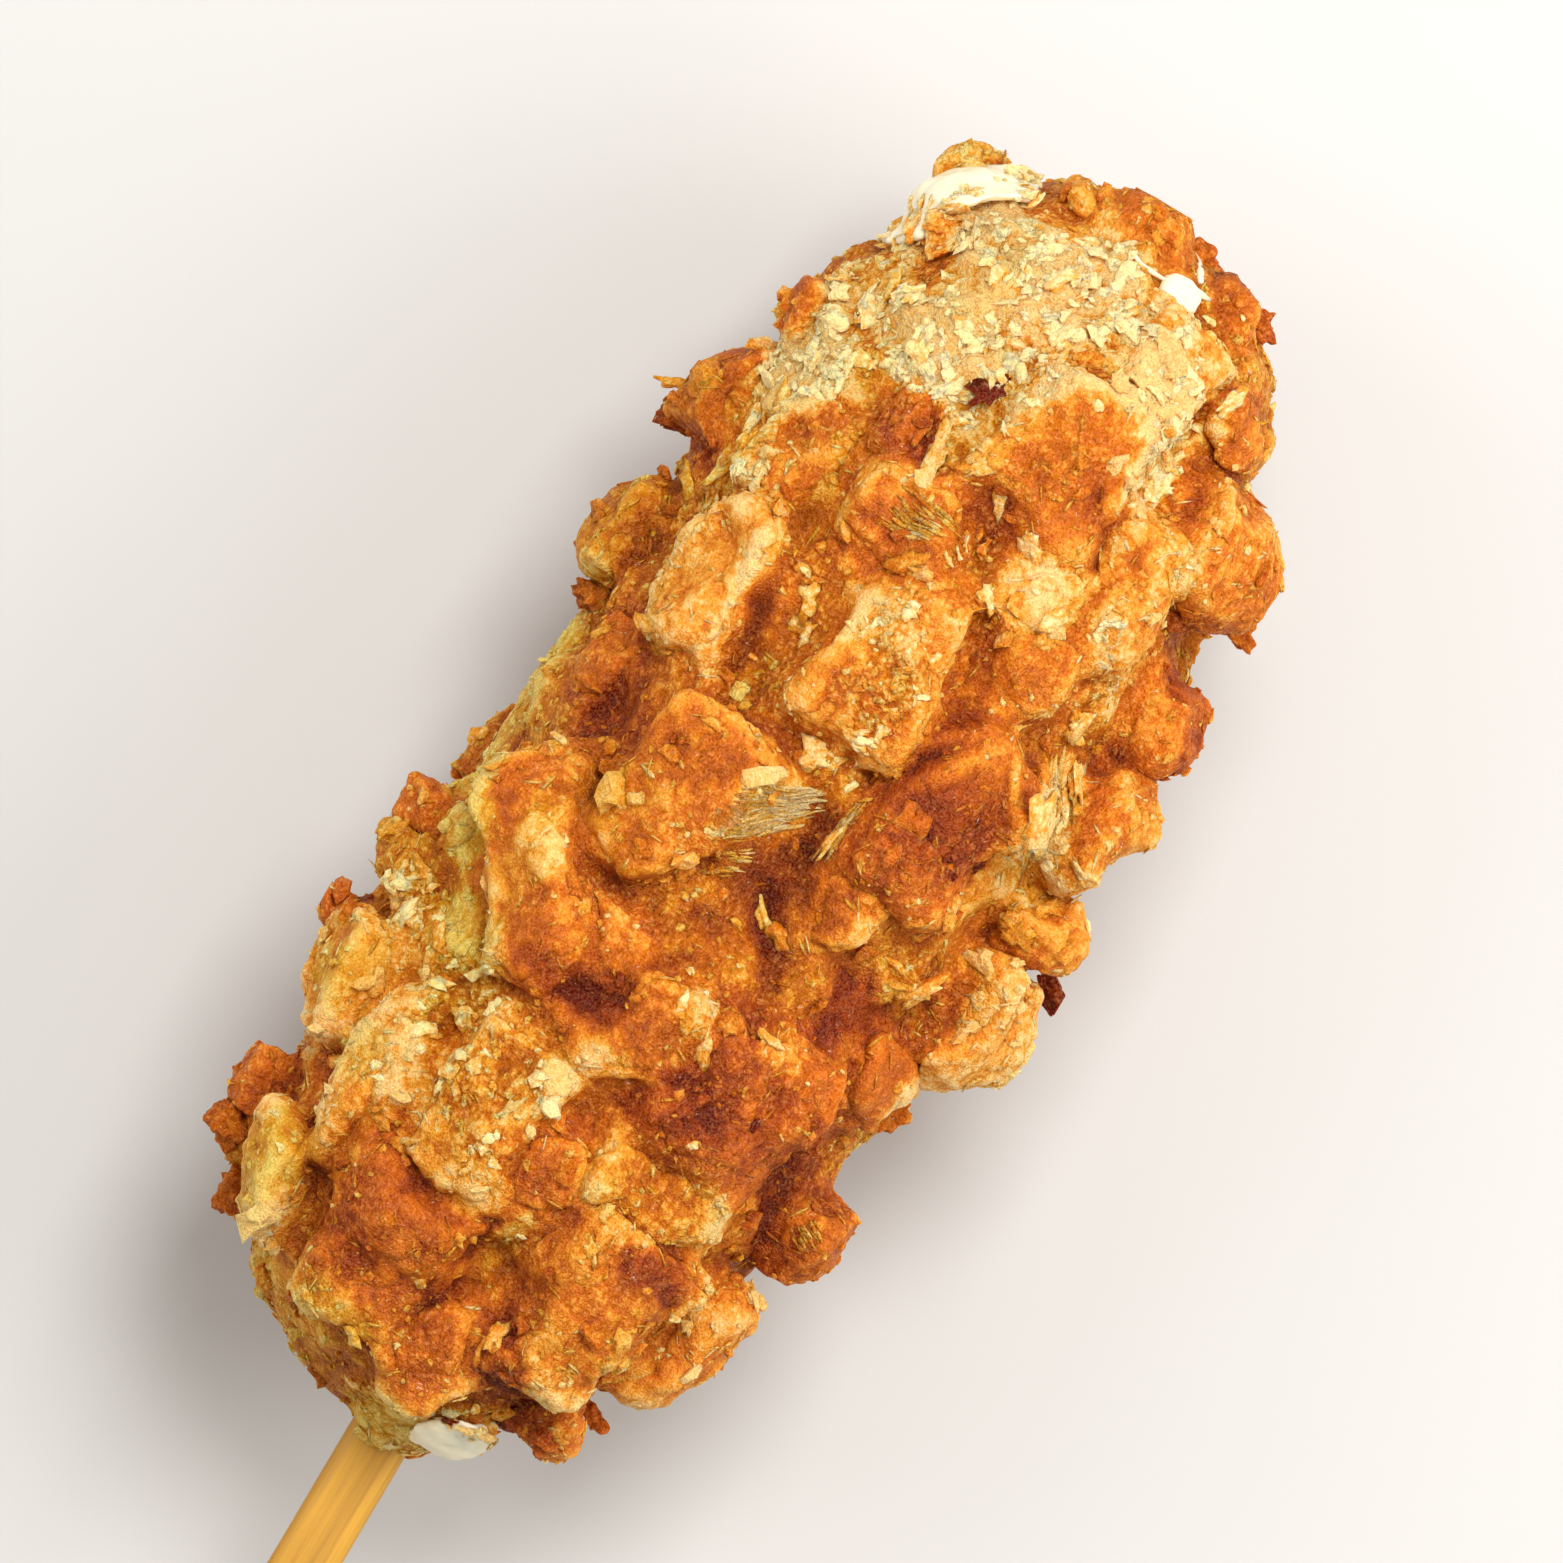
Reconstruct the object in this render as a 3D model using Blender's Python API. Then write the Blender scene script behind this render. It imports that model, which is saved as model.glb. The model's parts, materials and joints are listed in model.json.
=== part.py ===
"""Fried skewer: battered food on a flat wooden stick, crusted with diced potato and bread crumbs.

Metres, +Z up. It lies on its underside with the shown side up. The stick runs along X and the tip of
the food points to +X. The origin is the middle of the flat spot that the crust rests on.
"""

import math
import random
from collections import namedtuple

import bmesh
import bpy
from mathutils import Matrix, Vector, noise

MM = 0.001

# Size of the food, from which the rest follows.
FOOT_X = -76.0 * MM
TIP_X = 73.0 * MM
FOOD_RADIUS = 29.2 * MM
AXIS_HEIGHT = 31.0 * MM

# The food is a little barrel-shaped: where it is thickest, and how much it loses this far from there.
THICKEST_X = 5.0 * MM
BARREL_LOSS = 2.5 * MM
BARREL_LENGTH = 60.0 * MM

# Each end closes like a superellipse: how long it stays full, and how blunt it ends.
FOOT_SHAPE = (5.0, 2.6)
TIP_SHAPE = (5.0, 2.8)

# The food sits askew on its stick: its middle line steps sideways from the foot to the tip.
LEAN_MIDDLE_Y = -1.0 * MM
LEAN_STEP_Y = 3.5 * MM
LEAN_STEP_X = -12.0 * MM
LEAN_STEP_LENGTH = 22.0 * MM

# Lumps of the batter: height and size of the broad ones and of the small ones.
BATTER_LUMPS = ((1.0 * MM, 13.0 * MM), (0.55 * MM, 5.5 * MM))
BATTER_SIDES = 24
BATTER_RINGS = 28

# Gap between two solids that touch.
GAP = 0.3 * MM

# The flat wooden stick. It ends inside the food, well short of the tip.
STICK_WIDTH = 7.0 * MM
STICK_THICKNESS = 3.6 * MM
STICK_HANDLE_X = -160.0 * MM
STICK_INNER_X = 35.0 * MM
STICK_EDGE = 0.9 * MM

# A potato die: its size, where it is placed, its seed, how finely it is cut, and its shade.
Die = namedtuple("Die", "size matrix seed cuts shade")

# How blocky a die is: 2 would be an egg, and a large number a sharp box.
DIE_BLOCKINESS = 7.0
DIE_SKEW = 0.13
DIE_LUMP = 0.35 * MM
DIE_LUMP_SIZE = 4.0 * MM

# How often each edge of a die is cut, on the shown side and on the underside.
DIE_CUTS = 2
UNDER_CUTS = 1

# A grown die is the cutter of its neighbours: this much more than the gap clears its corners.
CORNER_CLEARANCE = 1.5

# Surface colours in linear light, and how rough each surface is.
FINISHES = {
    "wood": ((0.70, 0.50, 0.19), 0.55),
    "batter": ((0.50, 0.24, 0.05), 0.60),
    "golden": ((0.72, 0.38, 0.08), 0.55),
    "amber": ((0.60, 0.22, 0.03), 0.50),
    "russet": ((0.33, 0.10, 0.02), 0.55),
    "cream": ((0.83, 0.57, 0.24), 0.65),
    "olive": ((0.40, 0.24, 0.05), 0.60),
    "cheese": ((0.90, 0.84, 0.68), 0.35),
}

# Potato dice of the shown side and the two flanks, one row each, in millimetres and degrees:
# middle seen from above (x, y), length, width, height, turn seen from above, how far the outer face
# stands out of the batter, and the shade that it fried to.
SHOWN_DICE = (
    (-58.3, 23.3, 13.0, 9.5, 9.0, -12, 4.2, "golden"),
    (-57.2, 29.6, 5.0, 6.0, 8.0, 5, 5.2, "olive"),
    (-50.5, 30.0, 8.5, 7.5, 8.0, -5, 4.4, "russet"),
    (-37.0, 28.6, 14.5, 10.0, 9.0, 10, 4.2, "cream"),
    (-32.0, 31.6, 4.4, 4.5, 7.0, 20, 4.6, "russet"),
    (-43.5, 25.8, 8.0, 5.0, 6.0, 8, 1.6, "russet"),
    (-44.5, 20.0, 19.0, 7.5, 8.0, -4, 3.6, "cream"),
    (-23.0, 29.0, 6.5, 8.0, 8.0, 5, 3.7, "olive"),
    (-17.4, 29.5, 5.4, 8.0, 8.0, -8, 4.4, "russet"),
    (-18.0, 24.6, 6.8, 7.5, 7.0, 0, 2.4, "olive"),
    (-16.6, 16.4, 22.5, 12.0, 9.5, 31, 4.8, "amber"),
    (5.5, 21.5, 10.5, 8.0, 8.0, -20, 1.8, "russet"),
    (17.2, 27.5, 11.5, 10.0, 9.5, 0, 5.4, "olive"),
    (17.0, 15.5, 18.0, 11.0, 9.5, -3, 5.2, "golden"),
    (34.0, 26.0, 11.5, 9.0, 9.0, -4, 5.6, "russet"),
    (45.2, 22.3, 7.5, 7.0, 8.0, -8, 3.2, "russet"),
    (66.8, 15.4, 4.6, 5.6, 7.0, -50, 3.6, "olive"),
    (70.6, 3.8, 4.0, 4.0, 6.0, 0, 3.0, "golden"),
    (71.4, -4.0, 6.5, 11.0, 8.0, 4, 2.6, "amber"),
    (-59.5, 9.5, 18.5, 12.0, 9.0, -8, 3.6, "russet"),
    (-66.6, -0.2, 10.5, 10.0, 8.0, 35, 2.6, "amber"),
    (-41.0, 8.2, 17.0, 12.0, 9.0, -3, 3.4, "cream"),
    (-21.8, 5.6, 12.5, 9.5, 8.0, 65, 2.0, "amber"),
    (-2.5, 6.8, 17.0, 12.0, 9.5, -12, 4.8, "amber"),
    (33.2, 2.4, 11.6, 9.0, 8.5, 82, 2.8, "amber"),
    (41.0, 7.0, 8.0, 7.0, 7.0, 10, 1.8, "russet"),
    (32.0, 14.8, 12.0, 9.0, 8.0, -10, 2.0, "amber"),
    (60.6, 12.8, 6.0, 5.4, 6.5, 20, 1.4, "amber"),
    (-53.8, -12.5, 18.5, 14.0, 10.0, -6, 5.0, "golden"),
    (-43.2, -0.8, 9.0, 7.5, 7.5, 25, 3.0, "amber"),
    (-40.0, -11.8, 9.6, 15.5, 8.5, 4, 2.6, "cream"),
    (-25.6, -2.8, 10.6, 6.8, 8.0, -2, 3.4, "golden"),
    (-27.2, -14.5, 17.0, 14.5, 10.0, -6, 5.0, "russet"),
    (-5.0, -13.4, 8.8, 7.2, 8.0, 10, 3.0, "amber"),
    (8.0, -18.8, 20.0, 12.5, 10.0, -14, 5.6, "russet"),
    (18.0, -4.5, 22.0, 12.5, 9.0, -2, 4.0, "golden"),
    (45.5, -10.0, 17.0, 14.0, 9.5, -12, 3.2, "amber"),
    (33.2, -13.8, 8.6, 7.2, 7.5, 10, 2.6, "cream"),
    (26.3, -18.6, 9.0, 8.2, 8.0, 30, 3.6, "amber"),
    (37.0, -22.8, 17.0, 10.5, 9.0, -2, 3.2, "golden"),
    (59.0, -14.5, 16.0, 12.0, 9.0, -20, 2.6, "cream"),
    (-66.2, -16.2, 8.2, 6.0, 8.0, 18, 3.4, "russet"),
    (-52.5, -23.8, 16.0, 8.0, 9.0, 8, 4.8, "amber"),
    (-36.0, -28.2, 10.0, 10.5, 9.5, 20, 6.0, "russet"),
    (-18.6, -26.5, 9.0, 9.5, 9.0, -10, 2.8, "russet"),
    (-8.4, -32.4, 14.5, 12.0, 11.0, 4, 7.4, "cream"),
    (3.2, -33.4, 8.0, 9.0, 10.0, 30, 6.8, "golden"),
    (16.0, -33.4, 13.0, 10.0, 9.5, -8, 7.0, "amber"),
    (27.6, -33.8, 10.5, 9.0, 9.5, -4, 6.6, "russet"),
    (45.2, -29.4, 12.6, 13.0, 10.0, -4, 6.4, "amber"),
    (57.2, -23.6, 8.6, 6.6, 8.0, 10, 1.2, "russet"),
    (68.8, -18.0, 4.6, 4.6, 6.5, 30, 2.0, "russet"),
)

# Dice of the underside, fused to the batter: rows around the food, and their spread in each row.
UNDER_ROWS_DEG = (120, 142, 163, 197, 218, 240)
UNDER_SPACING = 17.5
UNDER_REACH_X = 61.0
UNDER_LENGTH = (9.0, 14.5)
UNDER_WIDTH = (7.5, 11.0)
UNDER_HEIGHT = 8.5
UNDER_PROUD = (2.2, 4.2)
UNDER_SHIFT = 2.5
UNDER_SWING_DEG = 5
UNDER_TURN_DEG = 60
UNDER_SEED = 7

# The row that it rests on lies straight below the stick, and is cut flat by the floor.
REST_SPACING = 16.0
REST_SIDE = 3
REST_SIZE = (12.5, 11.0, 8.5)
REST_PROUD = 3.4
REST_TURN_DEG = 18

# Melted cheese that shows through the batter: its middle seen from above and the half sizes of its
# area in millimetres, the turn in degrees, and its thickness over the batter.
CHEESE = (
    ("cheese_tip", (64.6, 14.2), (10.5, 4.4, 9.0), -40, 1.5),
    ("cheese_foot", (-73.4, -6.8), (3.4, 4.6, 6.0), 12, 0.9),
    ("cheese_drip", (68.0, -10.8), (1.7, 2.8, 4.0), 15, 1.4),
)


def clear_scene():
    for obj in list(bpy.data.objects):
        bpy.data.objects.remove(obj)


def new_collection(name):
    collection = bpy.data.collections.new(name)
    bpy.context.scene.collection.children.link(collection)
    return collection


def new_finish(name):
    colour, roughness = FINISHES[name]
    material = bpy.data.materials.new(name)
    material.use_nodes = True
    shader = material.node_tree.nodes["Principled BSDF"]
    shader.inputs["Base Color"].default_value = (*colour, 1.0)
    shader.inputs["Roughness"].default_value = roughness
    return material


def object_from(bm, name, collection, finish=None, matrix=None):
    """A new object holding the bmesh, which is freed. One without a finish is a cutter."""
    mesh = bpy.data.meshes.new(name)
    bm.to_mesh(mesh)
    bm.free()
    obj = bpy.data.objects.new(name, mesh)
    if matrix:
        obj.matrix_world = matrix
    if finish:
        mesh.materials.append(finish)
    else:
        obj.hide_render = True
        obj.display_type = "WIRE"
    collection.objects.link(obj)
    return obj


def middle_y(x):
    """Sideways place of the food's middle line at station x."""
    return LEAN_MIDDLE_Y - LEAN_STEP_Y * math.tanh((x - LEAN_STEP_X) / LEAN_STEP_LENGTH)


def food_radius(x, grow=0.0):
    """Radius of the batter at station x, without its lumps."""
    end = TIP_X + grow if x > 0 else FOOT_X - grow
    fullness, bluntness = TIP_SHAPE if x > 0 else FOOT_SHAPE
    share = min(1.0, x / end)
    barrel = FOOD_RADIUS - BARREL_LOSS * ((x - THICKEST_X) / BARREL_LENGTH) ** 2
    return (barrel + grow) * (1.0 - share**fullness) ** (1.0 / bluntness)


def batter_point(x, around, grow=0.0):
    """Point of the batter's skin at station x. around is the angle from straight up towards +Y."""
    radius = food_radius(x, grow)
    spot = Vector((x, radius * math.sin(around), radius * math.cos(around)))
    fade = radius / FOOD_RADIUS
    for height, size in BATTER_LUMPS:
        radius += fade * height * noise.noise(spot / size)
    return Vector((x, middle_y(x) + radius * math.sin(around), AXIS_HEIGHT + radius * math.cos(around)))


def batter_normal(x, around):
    """Outward direction of the batter's skin, lumps left out."""
    step = 0.5 * MM
    ahead = food_radius(min(x + step, TIP_X - step))
    behind = food_radius(max(x - step, FOOT_X + step))
    slope = (ahead - behind) / (2 * step)
    return Vector((-slope, math.sin(around), math.cos(around))).normalized()


def batter_mesh(grow=0.0):
    """Closed skin of the batter: a sphere's rings moved to the food's stations."""
    bm = bmesh.new()
    bmesh.ops.create_uvsphere(bm, u_segments=BATTER_SIDES, v_segments=BATTER_RINGS, radius=1.0)
    for vert in bm.verts:
        along = max(-1.0, min(1.0, vert.co.z))
        end = TIP_X + grow if along > 0 else FOOT_X - grow
        around = math.atan2(vert.co.y, vert.co.x)
        vert.co = batter_point(abs(along) * end, around, grow)
    bmesh.ops.reverse_faces(bm, faces=bm.faces)
    bmesh.ops.triangulate(bm, faces=bm.faces, quad_method="FIXED")
    return bm


def seen_from_above(x, y, proud):
    """The angle around the food at which something that stands proud of it is seen at (x, y)."""
    reach = food_radius(x) + proud / 2
    return math.asin(max(-1.0, min(1.0, (y - middle_y(x)) / reach)))


def die_matrix(x, around, height, turn, proud):
    """Places a die: its Z axis points out of the batter, and its X axis lies along the food."""
    outward = batter_normal(x, around)
    along = (Vector((1, 0, 0)) - outward * outward.x).normalized()
    across = outward.cross(along)
    middle = batter_point(x, around) + outward * (proud - height / 2)
    basis = Matrix((along, across, outward)).transposed().to_4x4()
    return Matrix.Translation(middle) @ basis @ Matrix.Rotation(math.radians(turn), 4, "Z")


def die_mesh(die, grow=0.0):
    """A rough-cut potato die: a subdivided cube, rounded, skewed at its corners, and lumpy."""
    draw = random.Random(die.seed)
    corners = {
        (i, j, k): Vector([draw.uniform(-DIE_SKEW, DIE_SKEW) for _ in range(3)])
        for i in (-1, 1)
        for j in (-1, 1)
        for k in (-1, 1)
    }
    offset = Vector([draw.uniform(-50, 50) for _ in range(3)])
    bm = bmesh.new()
    bmesh.ops.create_cube(bm, size=2.0)
    bmesh.ops.subdivide_edges(bm, edges=bm.edges, cuts=die.cuts, use_grid_fill=True)
    for vert in bm.verts:
        co = vert.co.copy()
        norm = sum(abs(c) ** DIE_BLOCKINESS for c in co) ** (1 / DIE_BLOCKINESS)
        rounded = co / norm
        for (i, j, k), shift in corners.items():
            weight = (1 + i * co.x) * (1 + j * co.y) * (1 + k * co.z) / 8
            rounded += shift * weight
        spot = rounded * (die.size / 2)
        lump = DIE_LUMP * noise.noise(spot / DIE_LUMP_SIZE + offset)
        vert.co = spot + spot.normalized() * (lump + grow * CORNER_CLEARANCE)
    bmesh.ops.triangulate(bm, faces=bm.faces, quad_method="FIXED")
    return bm


def die_object(die, name, collection, finish=None, grow=0.0):
    return object_from(die_mesh(die, grow), name, collection, finish, die.matrix)


def shown_dice():
    """The dice of the shown side and the flanks."""
    for seed, row in enumerate(SHOWN_DICE):
        x, y, length, width, height, turn, proud, shade = row
        around = seen_from_above(x * MM, y * MM, proud * MM)
        matrix = die_matrix(x * MM, around, height * MM, turn, proud * MM)
        yield Die(Vector((length, width, height)) * MM, matrix, seed, DIE_CUTS, shade)


def under_dice():
    """The dice of the underside: the row it rests on, and the rows beside it, drawn by a rule."""
    draw = random.Random(UNDER_SEED)
    seed = len(SHOWN_DICE)
    for step in range(-REST_SIDE, REST_SIDE + 1):
        x = step * REST_SPACING * MM
        around = math.pi + math.asin(middle_y(x) / food_radius(x))
        size = Vector(REST_SIZE) * MM
        turn = draw.uniform(-REST_TURN_DEG, REST_TURN_DEG)
        matrix = die_matrix(x, around, size.z, turn, REST_PROUD * MM)
        yield Die(size, matrix, seed, UNDER_CUTS, "batter")
        seed += 1
    for row, degrees in enumerate(UNDER_ROWS_DEG):
        x = -UNDER_REACH_X + (row % 2) * UNDER_SPACING / 2
        while x <= UNDER_REACH_X:
            station = (x + draw.uniform(-UNDER_SHIFT, UNDER_SHIFT)) * MM
            around = math.radians(degrees + draw.uniform(-UNDER_SWING_DEG, UNDER_SWING_DEG))
            proud = draw.uniform(*UNDER_PROUD) * MM
            size = Vector((draw.uniform(*UNDER_LENGTH), draw.uniform(*UNDER_WIDTH), UNDER_HEIGHT)) * MM
            turn = draw.uniform(-UNDER_TURN_DEG, UNDER_TURN_DEG)
            matrix = die_matrix(station, around, size.z, turn, proud)
            yield Die(size, matrix, seed, UNDER_CUTS, "batter")
            seed += 1
            x += UNDER_SPACING


def apply_boolean(obj, others, operation):
    """Cuts or joins obj with the other objects, which are then removed.

    The others overlap one another, and the EXACT solver fails on some of them, so this is MANIFOLD.
    """
    group = bpy.data.collections.new("operands")
    for other in others:
        group.objects.link(other)
    modifier = obj.modifiers.new("join" if operation == "UNION" else "cut", "BOOLEAN")
    modifier.operation = operation
    modifier.solver = "MANIFOLD"
    modifier.operand_type = "COLLECTION"
    modifier.collection = group
    bpy.context.view_layer.update()
    graph = bpy.context.evaluated_depsgraph_get()
    done = bpy.data.meshes.new_from_object(obj.evaluated_get(graph))
    obj.modifiers.remove(modifier)
    obj.data = done
    for other in others:
        bpy.data.objects.remove(other)
    bpy.data.collections.remove(group)


def clean_cut(obj):
    """Drops the loose scraps that a cut leaves, and the corners that only two faces share."""
    bm = bmesh.new()
    bm.from_mesh(obj.data)
    bodies = []
    left = set(bm.faces)
    while left:
        body = {left.pop()}
        front = list(body)
        while front:
            for edge in front.pop().edges:
                fresh = [face for face in edge.link_faces if face in left]
                left.difference_update(fresh)
                body.update(fresh)
                front.extend(fresh)
        bodies.append(body)
    bodies.sort(key=lambda faces: sum(face.calc_area() for face in faces))
    scraps = [face for body in bodies[:-1] for face in body]
    bmesh.ops.delete(bm, geom=scraps, context="FACES")
    bmesh.ops.dissolve_verts(bm, verts=[vert for vert in bm.verts if len(vert.link_edges) == 2])
    bm.to_mesh(obj.data)
    bm.free()


def near_point(die, point, distance):
    """Whether the ball that holds a die comes within this distance of a point."""
    return (die.matrix.translation - point).length < die.size.length / 2 + distance


def stick_mesh(grow=0.0):
    """Flat stick with rounded edges; grown, it is the cutter for the stick's channel."""
    length = STICK_INNER_X - STICK_HANDLE_X
    spans = Vector((length, STICK_WIDTH, STICK_THICKNESS)) + Vector((2, 2, 2)) * grow
    middle = Vector(((STICK_INNER_X + STICK_HANDLE_X) / 2, 0.0, AXIS_HEIGHT))
    bm = bmesh.new()
    bmesh.ops.create_cube(bm, size=1.0)
    for vert in bm.verts:
        vert.co = middle + Vector([c * s for c, s in zip(vert.co, spans)])
    bmesh.ops.bevel(bm, geom=bm.edges, offset=STICK_EDGE, segments=2, profile=0.5, affect="EDGES")
    return bm


def build_batter(parts, cutters, finish):
    """The battered food with the dice of its underside fused on, its channel and its flat spots."""
    crust = object_from(batter_mesh(), "batter_crust", parts, finish)
    apply_boolean(crust, [die_object(die, "under", cutters) for die in under_dice()], "UNION")
    bm = bmesh.new()
    bmesh.ops.create_cube(bm, size=1.0)
    for vert in bm.verts:
        vert.co.x *= TIP_X - FOOT_X
        vert.co.y *= 4 * FOOD_RADIUS
        vert.co.z = (vert.co.z - 0.5) * FOOD_RADIUS
    floor = object_from(bm, "floor_cut", cutters)
    channel = object_from(stick_mesh(GAP), "stick_cut", cutters)
    apply_boolean(crust, [floor, channel], "DIFFERENCE")
    clean_cut(crust)


def build_dice(parts, cutters, finishes):
    """Each die of the shown side as a solid of its own, cut clear of the batter and of the dice
    placed before it. Gives all the dice, with those of the underside."""
    placed = list(under_dice())
    for number, die in enumerate(shown_dice(), start=1):
        solid = die_object(die, f"potato_{number:02d}", parts, finishes[die.shade])
        near = [other for other in placed
                if near_point(other, die.matrix.translation, die.size.length / 2)]
        others = [die_object(other, "die_cut", cutters, grow=GAP) for other in near]
        others.append(object_from(batter_mesh(GAP), "batter_cut", cutters))
        apply_boolean(solid, others, "DIFFERENCE")
        clean_cut(solid)
        placed.append(die)
    return placed


def build_cheese(parts, cutters, finish, placed):
    """Thin patches of melted cheese that follow the batter, cut clear of the dice and the stick."""
    for name, (x, y), half, turn, thickness in CHEESE:
        middle = batter_point(x * MM, seen_from_above(x * MM, y * MM, 0.0))
        patch = object_from(batter_mesh(thickness * MM), name, parts, finish)
        bm = bmesh.new()
        bmesh.ops.create_icosphere(bm, subdivisions=2, radius=1.0)
        stretch = Matrix.Diagonal((*(Vector(half) * MM), 1.0))
        spin = Matrix.Rotation(math.radians(turn), 4, "Z")
        area = object_from(bm, "area", cutters, matrix=Matrix.Translation(middle) @ spin @ stretch)
        apply_boolean(patch, [area], "INTERSECT")
        near = [die for die in placed if near_point(die, middle, max(half) * MM)]
        others = [die_object(die, "die_cut", cutters, grow=GAP) for die in near]
        others.append(object_from(batter_mesh(GAP), "batter_cut", cutters))
        others.append(object_from(stick_mesh(GAP), "stick_cut", cutters))
        apply_boolean(patch, others, "DIFFERENCE")
        clean_cut(patch)


def main():
    clear_scene()
    parts = new_collection("fried_skewer")
    cutters = new_collection("cutters")
    finishes = {name: new_finish(name) for name in FINISHES}
    object_from(stick_mesh(), "stick", parts, finishes["wood"])
    build_batter(parts, cutters, finishes["batter"])
    placed = build_dice(parts, cutters, finishes)
    build_cheese(parts, cutters, finishes["cheese"], placed)


main()
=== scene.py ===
"""A fried skewer crusted with potato dice and bread crumbs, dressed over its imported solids."""

import itertools
import json
import math
from typing import NamedTuple

import bmesh
import bpy
import numpy as np
from bpy.props import FloatProperty, FloatVectorProperty, IntProperty, PointerProperty
from bpy.types import Operator, Panel, PropertyGroup
from mathutils import Matrix, Vector
from mathutils.bvhtree import BVHTree


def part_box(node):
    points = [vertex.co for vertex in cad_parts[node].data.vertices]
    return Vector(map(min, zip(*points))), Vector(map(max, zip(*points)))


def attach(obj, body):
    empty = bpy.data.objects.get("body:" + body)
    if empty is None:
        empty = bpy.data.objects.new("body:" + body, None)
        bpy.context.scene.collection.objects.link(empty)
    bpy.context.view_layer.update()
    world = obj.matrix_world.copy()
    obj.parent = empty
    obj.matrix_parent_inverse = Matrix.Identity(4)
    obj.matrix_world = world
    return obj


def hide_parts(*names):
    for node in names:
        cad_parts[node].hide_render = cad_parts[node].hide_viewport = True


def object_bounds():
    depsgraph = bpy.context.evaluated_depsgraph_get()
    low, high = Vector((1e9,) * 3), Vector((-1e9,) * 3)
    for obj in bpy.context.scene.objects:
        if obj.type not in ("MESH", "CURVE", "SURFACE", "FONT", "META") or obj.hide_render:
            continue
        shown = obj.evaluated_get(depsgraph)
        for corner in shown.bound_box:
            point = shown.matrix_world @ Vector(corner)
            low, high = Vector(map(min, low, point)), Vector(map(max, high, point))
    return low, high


bl_info = {
    "name": "Potato-crusted skewer",
    "version": (1, 0, 0),
    "blender": (4, 5, 0),
    "location": "View3D > Sidebar > Skewer",
    "description": "Dresses the solids of a fried skewer crusted with potato dice and bread crumbs",
    "category": "Object",
}

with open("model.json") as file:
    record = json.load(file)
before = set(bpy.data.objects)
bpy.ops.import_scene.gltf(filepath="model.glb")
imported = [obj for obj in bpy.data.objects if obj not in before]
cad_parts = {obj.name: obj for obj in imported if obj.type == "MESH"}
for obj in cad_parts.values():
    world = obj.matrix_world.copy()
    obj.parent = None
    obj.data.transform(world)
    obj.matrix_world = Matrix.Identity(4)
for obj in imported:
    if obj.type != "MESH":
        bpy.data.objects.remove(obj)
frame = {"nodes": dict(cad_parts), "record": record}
cad_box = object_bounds()

MM = 0.001
AXIS_HEIGHT = 31.0  # mm from the table up to the middle of the stick
CORNERS = np.array(list(itertools.product((0, 1), repeat=3)))

# The map wrapped round the food's surface: its start and step in mm along the stick, and its cells
MAP_START = -82.0
MAP_STEP = 0.8
MAP_ROWS = 200
MAP_TURNS = 240

# The collar of batter where the stick leaves the food, in metres
COLLAR_X = -0.0757
COLLAR_HALF_SIZE = (0.0026, 0.0058, 0.0042)

# Distance between the points of the other skins, in metres
CHEESE_SPACING = 0.32 * MM
STICK_SPACING = 1.0 * MM

SPOT_POOL = 44000  # spots of the surface that crumbs are picked from
ABOVE_ALL = 0.1  # metres, higher than the food
CLOSE_BY = 3.0  # mm, how far a potato piece's frying reaches into the batter

# The camera's frame, whose upward side is turned with the skewer: metres, and directions of length 1
FRAME_WIDTH = 0.1628
FRAME_MIDDLE = (0.00291, -0.00118, AXIS_HEIGHT * MM)
FRAME_RIGHT = (0.5105, -0.8599, 0.0)
FRAME_UP = (0.8599, 0.5105, 0.0)
CAMERA_DISTANCE = 2.0
SENSOR_WIDTH = 36.0  # mm
FLOOR_HALF_SIZE = 6.0

SLOT_OF = {part["node"]: part["material_slot"] for part in frame["record"]["subparts"]}
DICE = sorted(name for name in SLOT_OF if name.startswith("potato_"))
CHEESES = "cheese_tip", "cheese_foot", "cheese_drip"
CRUST = "fried_batter_crust"

# How far each slot is fried, how olive its fat makes it, and how much crumb sticks to it, from 0 to 1
FINISH = {
    "cream": (0.27, 0.10, 0.40),
    "golden": (0.37, 0.05, 0.35),
    "amber": (0.46, 0.0, 0.25),
    "russet": (0.63, 0.0, 0.25),
    "olive": (0.50, 0.75, 0.35),
    "batter": (0.46, 0.50, 0.45),
}

# Crust materials: the setting of the palest colour, size of grain and relief in mm, shine, contrast of the
# painted fine light and shade
CRUSTS = {
    "deep_fried_batter": ("cream_colour", 0.9, 0.5, 0.16, 0.28),
    "fried_potato": ("cream_colour", 1.0, 0.36, 0.24, 0.24),
    "dry_panko_crumb": ("panko_colour", 0.6, 0.25, 0.06, 0.24),
}
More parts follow.
